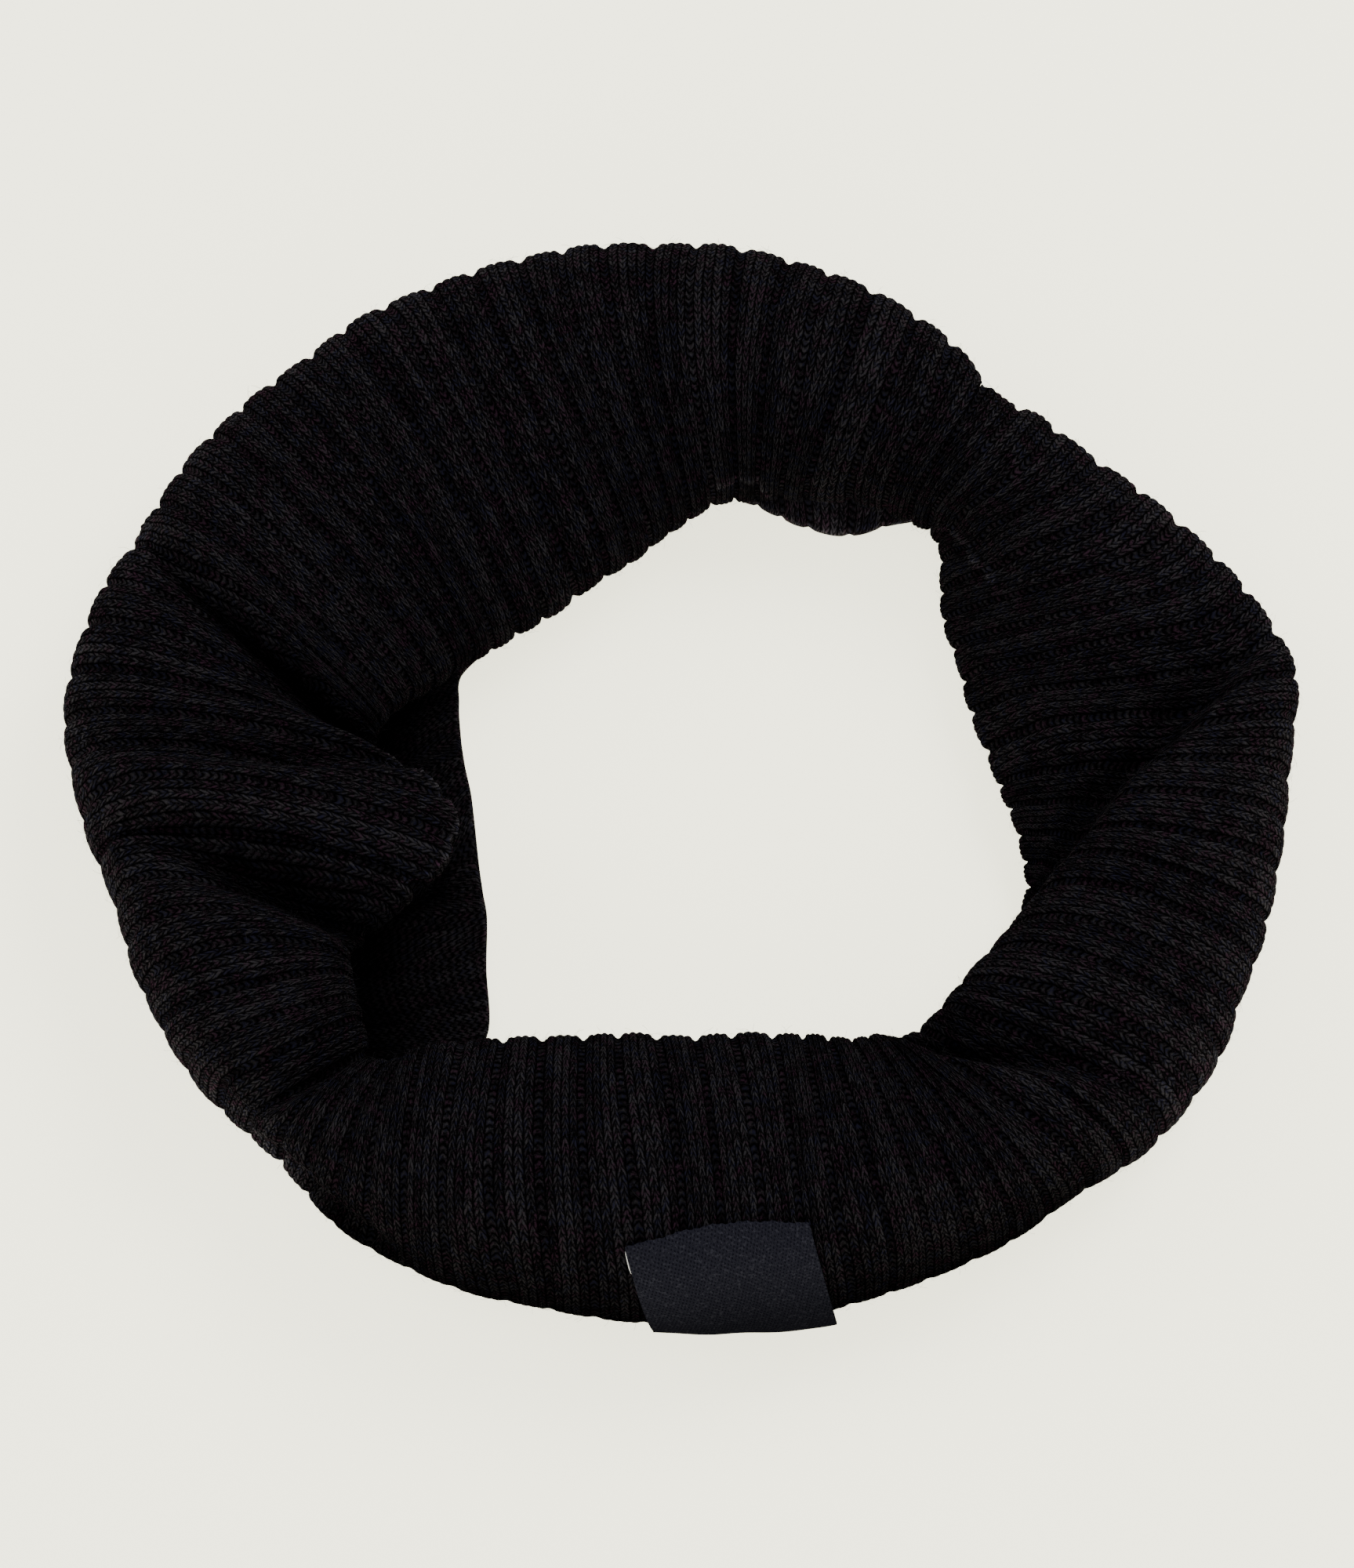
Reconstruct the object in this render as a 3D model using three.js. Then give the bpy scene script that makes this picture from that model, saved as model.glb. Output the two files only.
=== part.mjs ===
// A rib-knitted snood lying on a table, its tube rolled down into one puffy ring.
// Millimetres, +Z up, the table at z = 0, +X to the right and +Y to the back as it lies.
// A point of the knit has a rib number, counted clockwise from the front left corner seen from above,
// and a place across the roll: below 0 under its outer side, 0 outermost, about 0.5 on top,
// 1 innermost and above 1 under its inner side, up to the hem.
import * as THREE from "three";

const RIB_COUNT = 78;
const WALL = 2.6; // thickness of the knit between two ribs
const RIB_HEIGHT = 1.2; // how far a rib stands above the knit between two ribs
const LAYER_GAP = 0.5; // space between the outer wall and the layers tucked in it
const SEAM_GAP = 0.04; // space between two stretches, in ribs of about 10 mm
const FOOT_INSET = 13; // how far the wall turns under at its outer side
const FOOT_Z = 1.9; // lowest point of the turned-under side
const FOOT_SPAN = 0.3; // part of the across scale that the outer turn takes
const HEM_SPAN = 0.2; // part of the across scale that the inner turn takes
const FOOT_TURN = (75 * Math.PI) / 180;
const HEM_TURN = (70 * Math.PI) / 180;
const HEM_INSET = 4.5; // least that the inner turn goes back under
const HEM_SLOPE = 0.65; // how far it goes back for each millimetre that it drops
const LAYER_THICKNESS = 3.2; // lower layer where it lies on the table inside the ring
const LAYER_BEHIND = 1.2; // how far behind the hem the lower layer goes up
const LAYER_LEAN = 0.12; // how far it leans back for each millimetre that it goes up
const LAYER_ROUND = 1.2; // rounding of its inner edge
const LAYER_EDGE = 0.94; // its thickness beside that edge, as a part of the whole
const SOLE_INSET = 1.5; // how far the flat underside ends behind the turned-under side
const RIB_LENGTH_SCALE = 9; // millimetres a rib pitch takes in the measure of a fold's width
const ACROSS_SCALE = 85; // millimetres the across scale takes in the same measure

// One section through the roll for each row: its outermost, highest and innermost point,
// the height of the hem, the inner edge of the lower layer on the table, and how round the
// inner side is: 1 for a full round, less for a side that falls away in a slope.
const SECTIONS = table(
  "rib outX outY outZ topX topY topZ inX inY inZ hemZ edgeX edgeY round",
  [
    [0.0, -89, -84, 19, -80, -76, 40, -70, -64, 24, 8, -50, -60, 1],
    [2.6, -107, -67, 21, -90, -63, 44, -72, -53, 29, 10, -43.5, -50, 1],
    [5.1, -120, -45, 22, -99, -42, 45, -75, -41, 29, 12, -44, -34, 1],
    [6.9, -126.5, -27, 23, -107, -26, 44, -72, -31, 26, 12, -44, -22, 1],
    [7.8, -130, -18, 24, -106, -17, 45.5, -61, -26, 30, 20, -45, -16, 1],
    [8.7, -133.5, -9, 24, -104, -8, 47, -53, -18, 33, 24, -46, -9, 1],
    [9.6, -136.5, 2, 24, -102, 1, 47, -52, -9, 33, 24, -47, 0, 1],
    [10.9, -139, 15, 24, -105, 10, 45, -60, 2, 32, 23, -48, 8, 1],
    [12.2, -138, 29, 24, -108, 20, 44, -68, 8, 30, 22, -49.5, 15, 1],
    [13.6, -132.5, 45, 24, -105, 33, 45, -70, 12, 28, 18, -50.5, 22, 1],
    [15.6, -122, 65, 25, -97, 44, 47, -67, 18, 28, 14, -51, 30, 1],
    [18.4, -106, 88, 25, -82, 61, 48, -55, 30, 24, 8, -50, 38, 1],
    [22.3, -75, 114, 25, -57, 80, 48, -36, 43.5, 21, 7, -37, 49, 1],
    [25.5, -43, 128, 25, -33, 97, 48, -14, 58, 21, 7, -17, 63, 1],
    [28.7, -9, 134, 25, -9, 104, 48, 1, 70, 21, 7, 1, 77, 1],
    [31.0, 15, 132.5, 25, 12, 105, 48, 13, 76, 22, 7, 13, 80, 1],
    [33.9, 44, 122, 25, 38, 100, 48, 29, 76, 22, 7, 29, 73, 1],
    [35.0, 55, 115, 25, 49, 93, 48, 40, 75, 22, 7, 39, 71, 1],
    [37.0, 71, 100, 25, 64, 82, 46, 54, 71, 19, 7, 53, 75, 0.9],
    [39.2, 89, 86, 25, 78, 69, 44, 61, 66, 14, 6, 66, 70, 0.65],
    [41.0, 106, 72, 25, 90, 57, 42, 62, 55, 9.5, 5, 66, 56, 0.45],
    [42.7, 121, 59, 25, 103, 44, 40, 64, 43, 9.5, 5, 68, 43, 0.35],
    [44.7, 134, 41, 25, 114, 28, 40, 68, 28, 9.5, 5, 72, 27, 0.3],
    [45.8, 139, 29, 25, 119, 20, 42, 71, 18, 9.5, 5, 75, 17, 0.3],
    [46.8, 139, 18, 25, 118, 10, 46, 74, 9, 9.5, 5, 78, 8, 0.3],
    [48.7, 136.5, -5, 24, 110, -6, 48, 77.5, -3, 9.5, 5, 81, -4, 0.35],
    [50.8, 132.5, -28, 22, 103, -22, 48, 80.5, -16, 10, 5, 84, -17, 0.45],
    [52.6, 127.5, -47, 21, 98, -37, 48, 76.5, -30, 20, 7, 78, -32, 0.8],
    [54.2, 120, -62, 20, 91, -50, 48, 68.5, -42, 25, 8, 70, -44, 1],
    [56.2, 106, -80, 19, 80, -66, 47, 58, -55, 25, 8, 58, -57, 1],
    [58.2, 89, -92, 18, 70, -80, 47, 47, -59, 25, 8, 46, -60, 1],
    [60.7, 68, -106, 18, 57, -88, 49, 43, -60, 25, 8, 42, -64, 1],
    [64.2, 36, -118, 18, 31, -92, 49, 26, -60, 25, 8, 25, -64, 1],
    [68.0, 2, -122, 18, -1, -93, 49, -5, -60, 25, 8, -5, -64, 1],
    [72.0, -39, -116.5, 18, -41, -92, 49, -39, -60, 25, 8, -37, -62, 1],
    [73.7, -57, -110.5, 18, -58, -89, 48, -54, -62, 25, 8, -46, -60, 1],
    [76.0, -77, -99, 18, -71, -83, 44, -64, -66, 25, 8, -50, -61, 1],
  ],
);

// Folds as soft troughs: a row for each point on the line of a fold. A depth below 0 is a ridge.
// Left and right are how far the fold reaches on each side, seen along the line; the side with the
// short reach is the edge of cloth that lies over its neighbour.
const FOLDS = table("fold rib across depth left right", [
  ["left_upper", 15.2, 0.14, 2, 14, 10],
  ["left_upper", 14.8, 0.33, 7, 15, 10],
  ["left_upper", 14.4, 0.53, 10, 16, 10],
  ["left_upper", 13.8, 0.69, 12, 17, 10],
  ["left_upper", 13.1, 0.82, 12, 16, 10],
  ["left_upper", 12.6, 0.94, 9, 15, 11],
  ["left_upper", 12.4, 1.3, 4, 15, 12],
  ["left_small", 10.0, 0.16, 1.5, 9, 12],
  ["left_small", 9.7, 0.47, 5, 9, 13],
  ["left_small", 9.9, 0.58, 6, 9, 13],
  ["left_small", 10.7, 0.78, 6, 9, 12],
  ["left_small", 11.2, 0.94, 5, 9, 12],
  ["left_small", 11.4, 1.3, 2, 9, 12],
  ["left_valley", 8.1, 0.22, 2, 15, 10],
  ["left_valley", 7.8, 0.42, 9, 18, 11],
  ["left_valley", 7.5, 0.58, 15, 21, 12],
  ["left_valley", 7.2, 0.75, 19, 23, 12],
  ["left_valley", 6.9, 0.92, 14, 20, 12],
  ["left_valley", 6.8, 1.3, 4, 15, 12],
  ["left_corner", 1.5, 0.06, 2, 10, 12],
  ["left_corner", 1.1, 0.23, 4, 10, 14],
  ["left_corner", 0.8, 0.54, 9, 10, 16],
  ["left_corner", 0.6, 0.83, 10, 10, 16],
  ["left_corner", 0.6, 1.0, 7, 10, 16],
  ["left_corner", 0.6, 1.3, 4, 14, 16],
  ["right_deep", 44.8, 0.26, 1.5, 15, 10],
  ["right_deep", 45.2, 0.42, 7, 18, 10],
  ["right_deep", 46.2, 0.55, 12, 22, 11],
  ["right_deep", 47.5, 0.62, 16, 25, 12],
  ["right_deep", 49.2, 0.69, 18, 27, 12],
  ["right_deep", 51.0, 0.8, 14, 22, 11],
  ["right_deep", 52.4, 0.92, 5, 15, 10],
  ["right_ridge", 43.6, 0.9, -2, 9, 9],
  ["right_ridge", 45.0, 0.82, -3, 9, 10],
  ["right_ridge", 46.4, 0.76, -2, 9, 9],
  ["right_curl", 38.4, 1.0, 3, 13, 9],
  ["right_curl", 38.9, 0.84, 5, 12, 9],
  ["right_curl", 40.0, 0.76, 5, 12, 9],
  ["right_curl", 41.2, 0.71, 2, 11, 9],
  ["front_corner", 55.6, 0.24, 1.5, 13, 9],
  ["front_corner", 56.0, 0.36, 5, 14, 9],
  ["front_corner", 56.6, 0.52, 10, 16, 10],
  ["front_corner", 57.3, 0.7, 13, 18, 11],
  ["front_corner", 57.9, 0.86, 11, 17, 10],
  ["front_corner", 58.3, 1.0, 7, 15, 10],
  ["front_corner", 58.5, 1.3, 1.5, 14, 12],
  ["back_notch", 37.2, -0.1, 2.5, 12, 12],
  ["back_notch", 37.4, 0.16, 2, 12, 12],
  ["front_flap", 78.2, 0.04, 1.5, 9, 9],
  ["front_flap", 76.6, 0.13, 3, 9, 9],
  ["front_flap", 75.0, 0.06, 2, 9, 9],
  ["hidden_back", 24.0, -0.28, 1.5, 16, 16],
  ["hidden_back", 27.0, -0.1, 2, 18, 18],
  ["hidden_right", 50.0, -0.25, 1.5, 16, 16],
  ["hidden_right", 52.5, -0.05, 1.5, 16, 16],
]);

// Stretches of the ring between its folds, each from one groove between two ribs to another.
const STRETCHES = table("name first last", [
  ["stretch_left", 8, 15],
  ["stretch_back", 15, 37],
  ["stretch_right", 37, 57],
  ["stretch_front", 57, 78],
  ["stretch_front_left", 78, 86],
]);

// Rows of points across the roll, and the points of one rib from groove to groove.
const ACROSS_ROWS = [
  -0.3, -0.14, 0, 0.11, 0.22, 0.34, 0.46, 0.58, 0.7, 0.82, 0.92, 1, 1.1, 1.2,
];
const RIB_PROFILE = table("phase height", [
  [0, 0],
  [0.17, 0.86],
  [0.5, 1],
  [0.83, 0.86],
]);
// Ranges of ribs where folds are close, so that the plain inner side has two points a rib there.
const CLOSE_FOLDS = table("first last", [
  [-2, 17],
  [36, 39],
  [43, 60],
  [76, 95],
]);

const LABEL = {
  firstRib: 64.1,
  lastRib: 68.45,
  slant: 0.78, // ribs that its upper edge lies further on
  lowAcross: -0.16,
  highAcross: 0.315,
  tilt: 0.05, // how much further across its upper edge lies at the first rib than at the last
  lift: 0.4, // above the tops of the ribs
  thickness: 0.9,
  columns: 9,
  rows: 8,
};

// Middle of the whole outline in the tables' plan, which becomes the part's origin.
const MIDDLE = { x: 0.13, y: 5.52 };

const KNIT_COLOUR = 0x141416;
const LAYER_COLOUR = 0x101012;
const LABEL_COLOUR = 0x1b1e28;

function table(columns, rows) {
  const names = columns.split(/\s+/);
  return rows.map((row) =>
    Object.fromEntries(names.map((name, i) => [name, row[i]])),
  );
}

function wrapRib(rib) {
  return ((rib % RIB_COUNT) + RIB_COUNT) % RIB_COUNT;
}

function sectionRow(index) {
  const turns = Math.floor(index / SECTIONS.length);
  const row = SECTIONS[index - turns * SECTIONS.length];
  return { ...row, rib: row.rib + turns * RIB_COUNT };
}

// Smooth section at any rib: a curve through the rows whose slope at a row is that of its neighbours.
function sectionAt(rib) {
  const at = wrapRib(rib);
  const k = SECTIONS.findLastIndex((row) => row.rib <= at);
  const [before, low, high, after] = [k - 1, k, k + 1, k + 2].map(sectionRow);
  const span = high.rib - low.rib;
  const t = (at - low.rib) / span;
  const found = {};
  for (const name of Object.keys(low)) {
    const slopeLow = ((high[name] - before[name]) / (high.rib - before.rib)) * span;
    const slopeHigh = ((after[name] - low[name]) / (after.rib - low.rib)) * span;
    found[name] =
      (2 * t ** 3 - 3 * t ** 2 + 1) * low[name] +
      (t ** 3 - 2 * t ** 2 + t) * slopeLow +
      (3 * t ** 2 - 2 * t ** 3) * high[name] +
      (t ** 3 - t ** 2) * slopeHigh;
  }
  return found;
}

// Line of a rib seen from above, through the outermost, highest and innermost point.
function planPoint(section, s) {
  const outWeight = (2 * s - 1) * (s - 1);
  const topWeight = 4 * s * (1 - s);
  const inWeight = s * (2 * s - 1);
  return [
    section.outX * outWeight + section.topX * topWeight + section.inX * inWeight,
    section.outY * outWeight + section.topY * topWeight + section.inY * inWeight,
  ];
}

function towards(fromX, fromY, toX, toY) {
  const length = Math.hypot(toX - fromX, toY - fromY);
  return [(toX - fromX) / length, (toY - fromY) / length];
}

// Level direction square to the inner edge, into the roll.
function awayFromHole(rib) {
  const [before, after] = [sectionAt(rib - 0.1), sectionAt(rib + 0.1)];
  const [dx, dy] = towards(before.inX, before.inY, after.inX, after.inY);
  return [-dy, dx];
}

// The roll without folds and ribs.
function smoothPoint(rib, across) {
  const c = sectionAt(rib);
  if (across < 0) {
    const turn = (-across / FOOT_SPAN) * FOOT_TURN;
    const [dx, dy] = towards(c.outX, c.outY, c.topX, c.topY);
    const inset = FOOT_INSET * (1 - Math.cos(turn));
    const z = c.outZ - (c.outZ - FOOT_Z) * Math.sin(turn);
    return new THREE.Vector3(c.outX + dx * inset, c.outY + dy * inset, z);
  }
  if (across > 1) {
    const turn = ((across - 1) / HEM_SPAN) * HEM_TURN;
    const [dx, dy] = awayFromHole(rib);
    const inset = Math.max(HEM_INSET, HEM_SLOPE * (c.inZ - c.hemZ)) * (1 - Math.cos(turn));
    const z = c.inZ - (c.inZ - c.hemZ) * Math.sin(turn);
    return new THREE.Vector3(c.inX + dx * inset, c.inY + dy * inset, z);
  }
  const angle = Math.PI * across;
  const [x, y] = planPoint(c, (1 - Math.cos(angle)) / 2);
  const sine = Math.sin(angle);
  if (across < 0.5) return new THREE.Vector3(x, y, c.outZ + (c.topZ - c.outZ) * sine);
  const rise = c.round * sine + (1 - c.round) * sine ** 2;
  return new THREE.Vector3(x, y, c.inZ + (c.topZ - c.inZ) * rise);
}

function outwardNormal(rib, across) {
  const step = 0.02;
  const alongRing = smoothPoint(rib + step, across).sub(smoothPoint(rib - step, across));
  const acrossRoll = smoothPoint(rib, across + step).sub(smoothPoint(rib, across - step));
  return acrossRoll.cross(alongRing).normalize();
}

// Depth of the folds at a place: each fold counts with the nearest point on its line.
function foldDepth(rib, across) {
  const deepest = {};
  for (let i = 1; i < FOLDS.length; i++) {
    const [a, b] = [FOLDS[i - 1], FOLDS[i]];
    if (a.fold !== b.fold) continue;
    for (const turn of [-RIB_COUNT, 0, RIB_COUNT]) {
      const px = (wrapRib(rib) + turn - a.rib) * RIB_LENGTH_SCALE;
      const py = (across - a.across) * ACROSS_SCALE;
      const dx = (b.rib - a.rib) * RIB_LENGTH_SCALE;
      const dy = (b.across - a.across) * ACROSS_SCALE;
      const t = Math.min(1, Math.max(0, (px * dx + py * dy) / (dx * dx + dy * dy)));
      const side = dx * py - dy * px > 0 ? "left" : "right";
      const reach = a[side] + (b[side] - a[side]) * t;
      const near = Math.hypot(px - dx * t, py - dy * t) / reach;
      if (near >= 1) continue;
      const depth = (a.depth + (b.depth - a.depth) * t) * (0.5 + 0.5 * Math.cos(Math.PI * near));
      if (Math.abs(depth) > Math.abs(deepest[a.fold] ?? 0)) deepest[a.fold] = depth;
    }
  }
  return Object.values(deepest).reduce((sum, depth) => sum + depth, 0);
}

// A point of the knit, moved out by a height from the level of the grooves.
// A fold sinks straight down on top and inside, and also inwards at the outer side.
function knitPoint(rib, across, height) {
  const normal = outwardNormal(rib, across);
  const inwards = 1 - THREE.MathUtils.smoothstep(across, 0, 0.28);
  const upwards = Math.max(normal.z, 1 - inwards);
  const sink = new THREE.Vector3(normal.x * inwards, normal.y * inwards, upwards).normalize();
  return smoothPoint(rib, across)
    .addScaledVector(normal, height)
    .addScaledVector(sink, -foldDepth(rib, across));
}

class Skin {
  constructor() {
    this.corners = [];
  }

  triangle(a, b, c) {
    for (const p of [a, b, c]) this.corners.push(p.x, p.y, p.z);
  }

  // A sheet of columns of points, facing the side where columns run clockwise around the ring.
  sheet(columns, flipped = false) {
    for (let i = 1; i < columns.length; i++) {
      for (let j = 1; j < columns[i].length; j++) {
        const [a, b] = [columns[i - 1][j - 1], columns[i - 1][j]];
        const [c, d] = [columns[i][j - 1], columns[i][j]];
        if (flipped) {
          this.triangle(a, c, b);
          this.triangle(b, c, d);
        } else {
          this.triangle(a, b, c);
          this.triangle(b, d, c);
        }
      }
    }
  }

  // A strip between two rows of points whose ribs differ in number.
  strip(upper, lower, flipped = false) {
    let [i, j] = [0, 0];
    while (i < upper.length - 1 || j < lower.length - 1) {
      const upperNext = i < upper.length - 1 ? upper[i + 1].rib : Infinity;
      const lowerNext = j < lower.length - 1 ? lower[j + 1].rib : Infinity;
      const useUpper = upperNext <= lowerNext;
      const [a, b] = [upper[i].point, lower[j].point];
      const c = useUpper ? upper[++i].point : lower[++j].point;
      if (flipped) this.triangle(a, c, b);
      else this.triangle(a, b, c);
    }
  }

  mesh(name, colour, roughness) {
    const geometry = new THREE.BufferGeometry();
    geometry.setAttribute("position", new THREE.Float32BufferAttribute(this.corners, 3));
    geometry.translate(-MIDDLE.x, -MIDDLE.y, 0);
    geometry.computeVertexNormals();
    const material = new THREE.MeshStandardMaterial({ color: colour, roughness, metalness: 0 });
    const made = new THREE.Mesh(geometry, material);
    made.name = name;
    return made;
  }
}

// Ribs of the outer columns, each with its height, from one groove to another.
function outerStations(first, last) {
  const stations = [];
  for (let rib = first; rib < last; rib++) {
    for (const { phase, height } of RIB_PROFILE) {
      stations.push({ rib: rib + phase, height: height * RIB_HEIGHT });
    }
  }
  stations.push({ rib: last, height: 0 });
  stations[0].rib += SEAM_GAP / 2;
  stations[stations.length - 1].rib -= SEAM_GAP / 2;
  return stations;
}

function innerRibs(first, last) {
  const ribs = [];
  for (let rib = first; rib < last; rib++) {
    const close = CLOSE_FOLDS.some((range) => rib >= range.first && rib <= range.last);
    if (close) ribs.push(rib);
    ribs.push(rib + 0.5);
  }
  return ribs;
}

function stretch({ name, first, last }) {
  const skin = new Skin();
  const outer = outerStations(first, last);
  const inside = innerRibs(first, last).filter((rib) => rib > first);
  const inner = [outer[0].rib, ...inside, outer[outer.length - 1].rib];
  const outerColumns = outer.map(({ rib, height }) =>
    ACROSS_ROWS.map((across) => knitPoint(rib, across, height)),
  );
  const innerColumns = inner.map((rib) =>
    ACROSS_ROWS.map((across) => knitPoint(rib, across, -WALL)),
  );
  skin.sheet(outerColumns);
  skin.sheet(innerColumns, true);
  const outerRibs = outer.map(({ rib }) => rib);
  const edge = (ribs, columns, row) =>
    columns.map((column, i) => ({ rib: ribs[i], point: column[row] }));
  const lastRow = ACROSS_ROWS.length - 1;
  skin.strip(edge(inner, innerColumns, 0), edge(outerRibs, outerColumns, 0));
  skin.strip(edge(inner, innerColumns, lastRow), edge(outerRibs, outerColumns, lastRow), true);
  skin.sheet([innerColumns[0], outerColumns[0]]);
  skin.sheet([outerColumns[outer.length - 1], innerColumns[inner.length - 1]]);
  return skin.mesh(name, KNIT_COLOUR, 0.95);
}

// One closed section of the layers tucked in the roll, down to the flat side on the table.
function layerColumn(rib) {
  const c = sectionAt(rib);
  const column = ACROSS_ROWS.map((across) => knitPoint(rib, across, -WALL - LAYER_GAP));
  const end = knitPoint(rib, ACROSS_ROWS[ACROSS_ROWS.length - 1], 0);
  const last = column[column.length - 1];
  const [dx, dy] = awayFromHole(rib);
  const recess = LAYER_BEHIND + LAYER_LEAN * Math.max(0, last.z - LAYER_THICKNESS);
  const [ex, ey] = towards(c.edgeX, c.edgeY, c.topX, c.topY);
  const [fx, fy] = towards(c.outX, c.outY, c.topX, c.topY);
  const rim = { x: c.edgeX + ex * LAYER_ROUND, y: c.edgeY + ey * LAYER_ROUND };
  const foot = column[0];
  const point = (x, y, z) => new THREE.Vector3(x, y, z);
  column.push(
    point(end.x + dx * recess, end.y + dy * recess, (last.z + LAYER_THICKNESS) / 2),
    point(end.x + dx * LAYER_BEHIND, end.y + dy * LAYER_BEHIND, LAYER_THICKNESS),
    point(rim.x, rim.y, LAYER_THICKNESS * LAYER_EDGE),
    point(c.edgeX, c.edgeY, LAYER_THICKNESS / 2),
    point(rim.x, rim.y, 0),
    point(foot.x + fx * SOLE_INSET, foot.y + fy * SOLE_INSET, 0),
  );
  column.push(column[0]);
  return column;
}

function tuckedLayers() {
  const skin = new Skin();
  const columns = innerRibs(0, RIB_COUNT).map(layerColumn);
  columns.push(columns[0]);
  skin.sheet(columns);
  return skin.mesh("tucked_layers", LAYER_COLOUR, 0.95);
}

// Woven label, bare, bent round the lower front edge over the tops of the ribs.
function label() {
  const skin = new Skin();
  const side = (height) =>
    Array.from({ length: LABEL.columns }, (_, i) =>
      Array.from({ length: LABEL.rows }, (_, j) => {
        const up = j / (LABEL.rows - 1);
        const along = i / (LABEL.columns - 1);
        const highest = LABEL.highAcross + LABEL.tilt * (0.5 - along);
        const across = LABEL.lowAcross + (highest - LABEL.lowAcross) * up;
        const rib = LABEL.firstRib + (LABEL.lastRib - LABEL.firstRib) * along + LABEL.slant * up;
        return knitPoint(rib, across, height);
      }),
    );
  const outer = side(RIB_HEIGHT + LABEL.lift + LABEL.thickness);
  const inner = side(RIB_HEIGHT + LABEL.lift);
  skin.sheet(outer);
  skin.sheet(inner, true);
  skin.sheet([inner[0], outer[0]]);
  skin.sheet([outer[LABEL.columns - 1], inner[LABEL.columns - 1]]);
  const row = (columns, j) => columns.map((column) => column[j]);
  skin.sheet([row(inner, 0), row(outer, 0)], true);
  skin.sheet([row(outer, LABEL.rows - 1), row(inner, LABEL.rows - 1)], true);
  return skin.mesh("label", LABEL_COLOUR, 0.6);
}

const snood = new THREE.Group();
snood.name = "snood";
for (const row of STRETCHES) snood.add(stretch(row));
snood.add(tuckedLayers());
snood.add(label());

export default snood;
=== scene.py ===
"""Looks of a rib-knitted snood that lies rolled into a ring: knit, tucked layers, label and studio."""

import logging
import math
from dataclasses import dataclass
from enum import Enum
from typing import NamedTuple, Optional, Sequence, Union

import bpy
import numpy as np
from mathutils import Matrix, Vector


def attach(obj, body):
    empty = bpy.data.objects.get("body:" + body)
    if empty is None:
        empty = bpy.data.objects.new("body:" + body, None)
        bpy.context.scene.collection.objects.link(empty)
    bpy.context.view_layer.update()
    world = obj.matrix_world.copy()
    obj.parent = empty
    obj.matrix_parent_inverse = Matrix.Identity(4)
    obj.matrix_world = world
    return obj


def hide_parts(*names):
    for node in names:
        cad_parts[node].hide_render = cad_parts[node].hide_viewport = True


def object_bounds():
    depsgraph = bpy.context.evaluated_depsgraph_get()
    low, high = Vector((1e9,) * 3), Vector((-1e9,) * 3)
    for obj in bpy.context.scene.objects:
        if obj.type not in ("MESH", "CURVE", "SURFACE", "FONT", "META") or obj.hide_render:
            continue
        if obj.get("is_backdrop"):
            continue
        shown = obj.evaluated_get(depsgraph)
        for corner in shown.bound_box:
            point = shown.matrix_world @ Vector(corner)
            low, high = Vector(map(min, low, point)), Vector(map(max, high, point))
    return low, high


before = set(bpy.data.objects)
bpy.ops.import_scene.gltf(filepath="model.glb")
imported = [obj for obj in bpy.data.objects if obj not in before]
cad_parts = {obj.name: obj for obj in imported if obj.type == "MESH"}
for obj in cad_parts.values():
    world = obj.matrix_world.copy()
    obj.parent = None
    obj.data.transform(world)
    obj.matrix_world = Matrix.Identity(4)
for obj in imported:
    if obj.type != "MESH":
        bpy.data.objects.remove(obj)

LOG = logging.getLogger("snood")
MM = 0.001
MIDDLE = (0.13, 5.52)  # middle of the outline in the tables' plan, which is the part's origin
BODY = "root"
STITCHES = "Stitches"  # layer of wale and course numbers

Array = np.ndarray
Socket = bpy.types.NodeSocket
Value = Union[Socket, float, int, str, bool, tuple]
Colour = tuple[float, float, float]


class Slot(Enum):
    """The record's material slots."""

    RIB_KNIT = "rib_knit"
    INNER_KNIT = "inner_knit"
    LABEL_WEAVE = "label_weave"


class Section(NamedTuple):
    """Cross-section of the roll at one rib, in millimetres from the surface that it lies on."""

    rib: float
    out_x: float
    out_y: float
    out_z: float
    top_x: float
    top_y: float
    top_z: float
    in_x: float
    in_y: float
    in_z: float
    hem_z: float
    edge_x: float
    edge_y: float
    roundness: float


class Crease(NamedTuple):
    """One point on the line of a fold, in millimetres but for rib and across.

    Left and right are how far the fold reaches on each side, seen along the line; a short reach is the
    edge of a stretch that lies over the next one. Gap is how much deeper the dark gap along the line
    goes, and gap_reach how far it goes to both sides.
    """

    rib: float
    across: float
    depth: float
    left: float
    right: float
    gap: float = 0.0
    gap_reach: float = 4.5


class EdgePoint(NamedTuple):
    """One point on the thin raised edge of a hem, which is painted lighter as a painted highlight."""

    rib: float
    across: float


Point = Union[Crease, EdgePoint]


def lines_of(kind: type, **lines: Sequence[tuple]) -> dict[str, list[Point]]:
    """Named lines as points of the kind."""
    return {name: [kind(*row) for row in rows] for name, rows in lines.items()}


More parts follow.
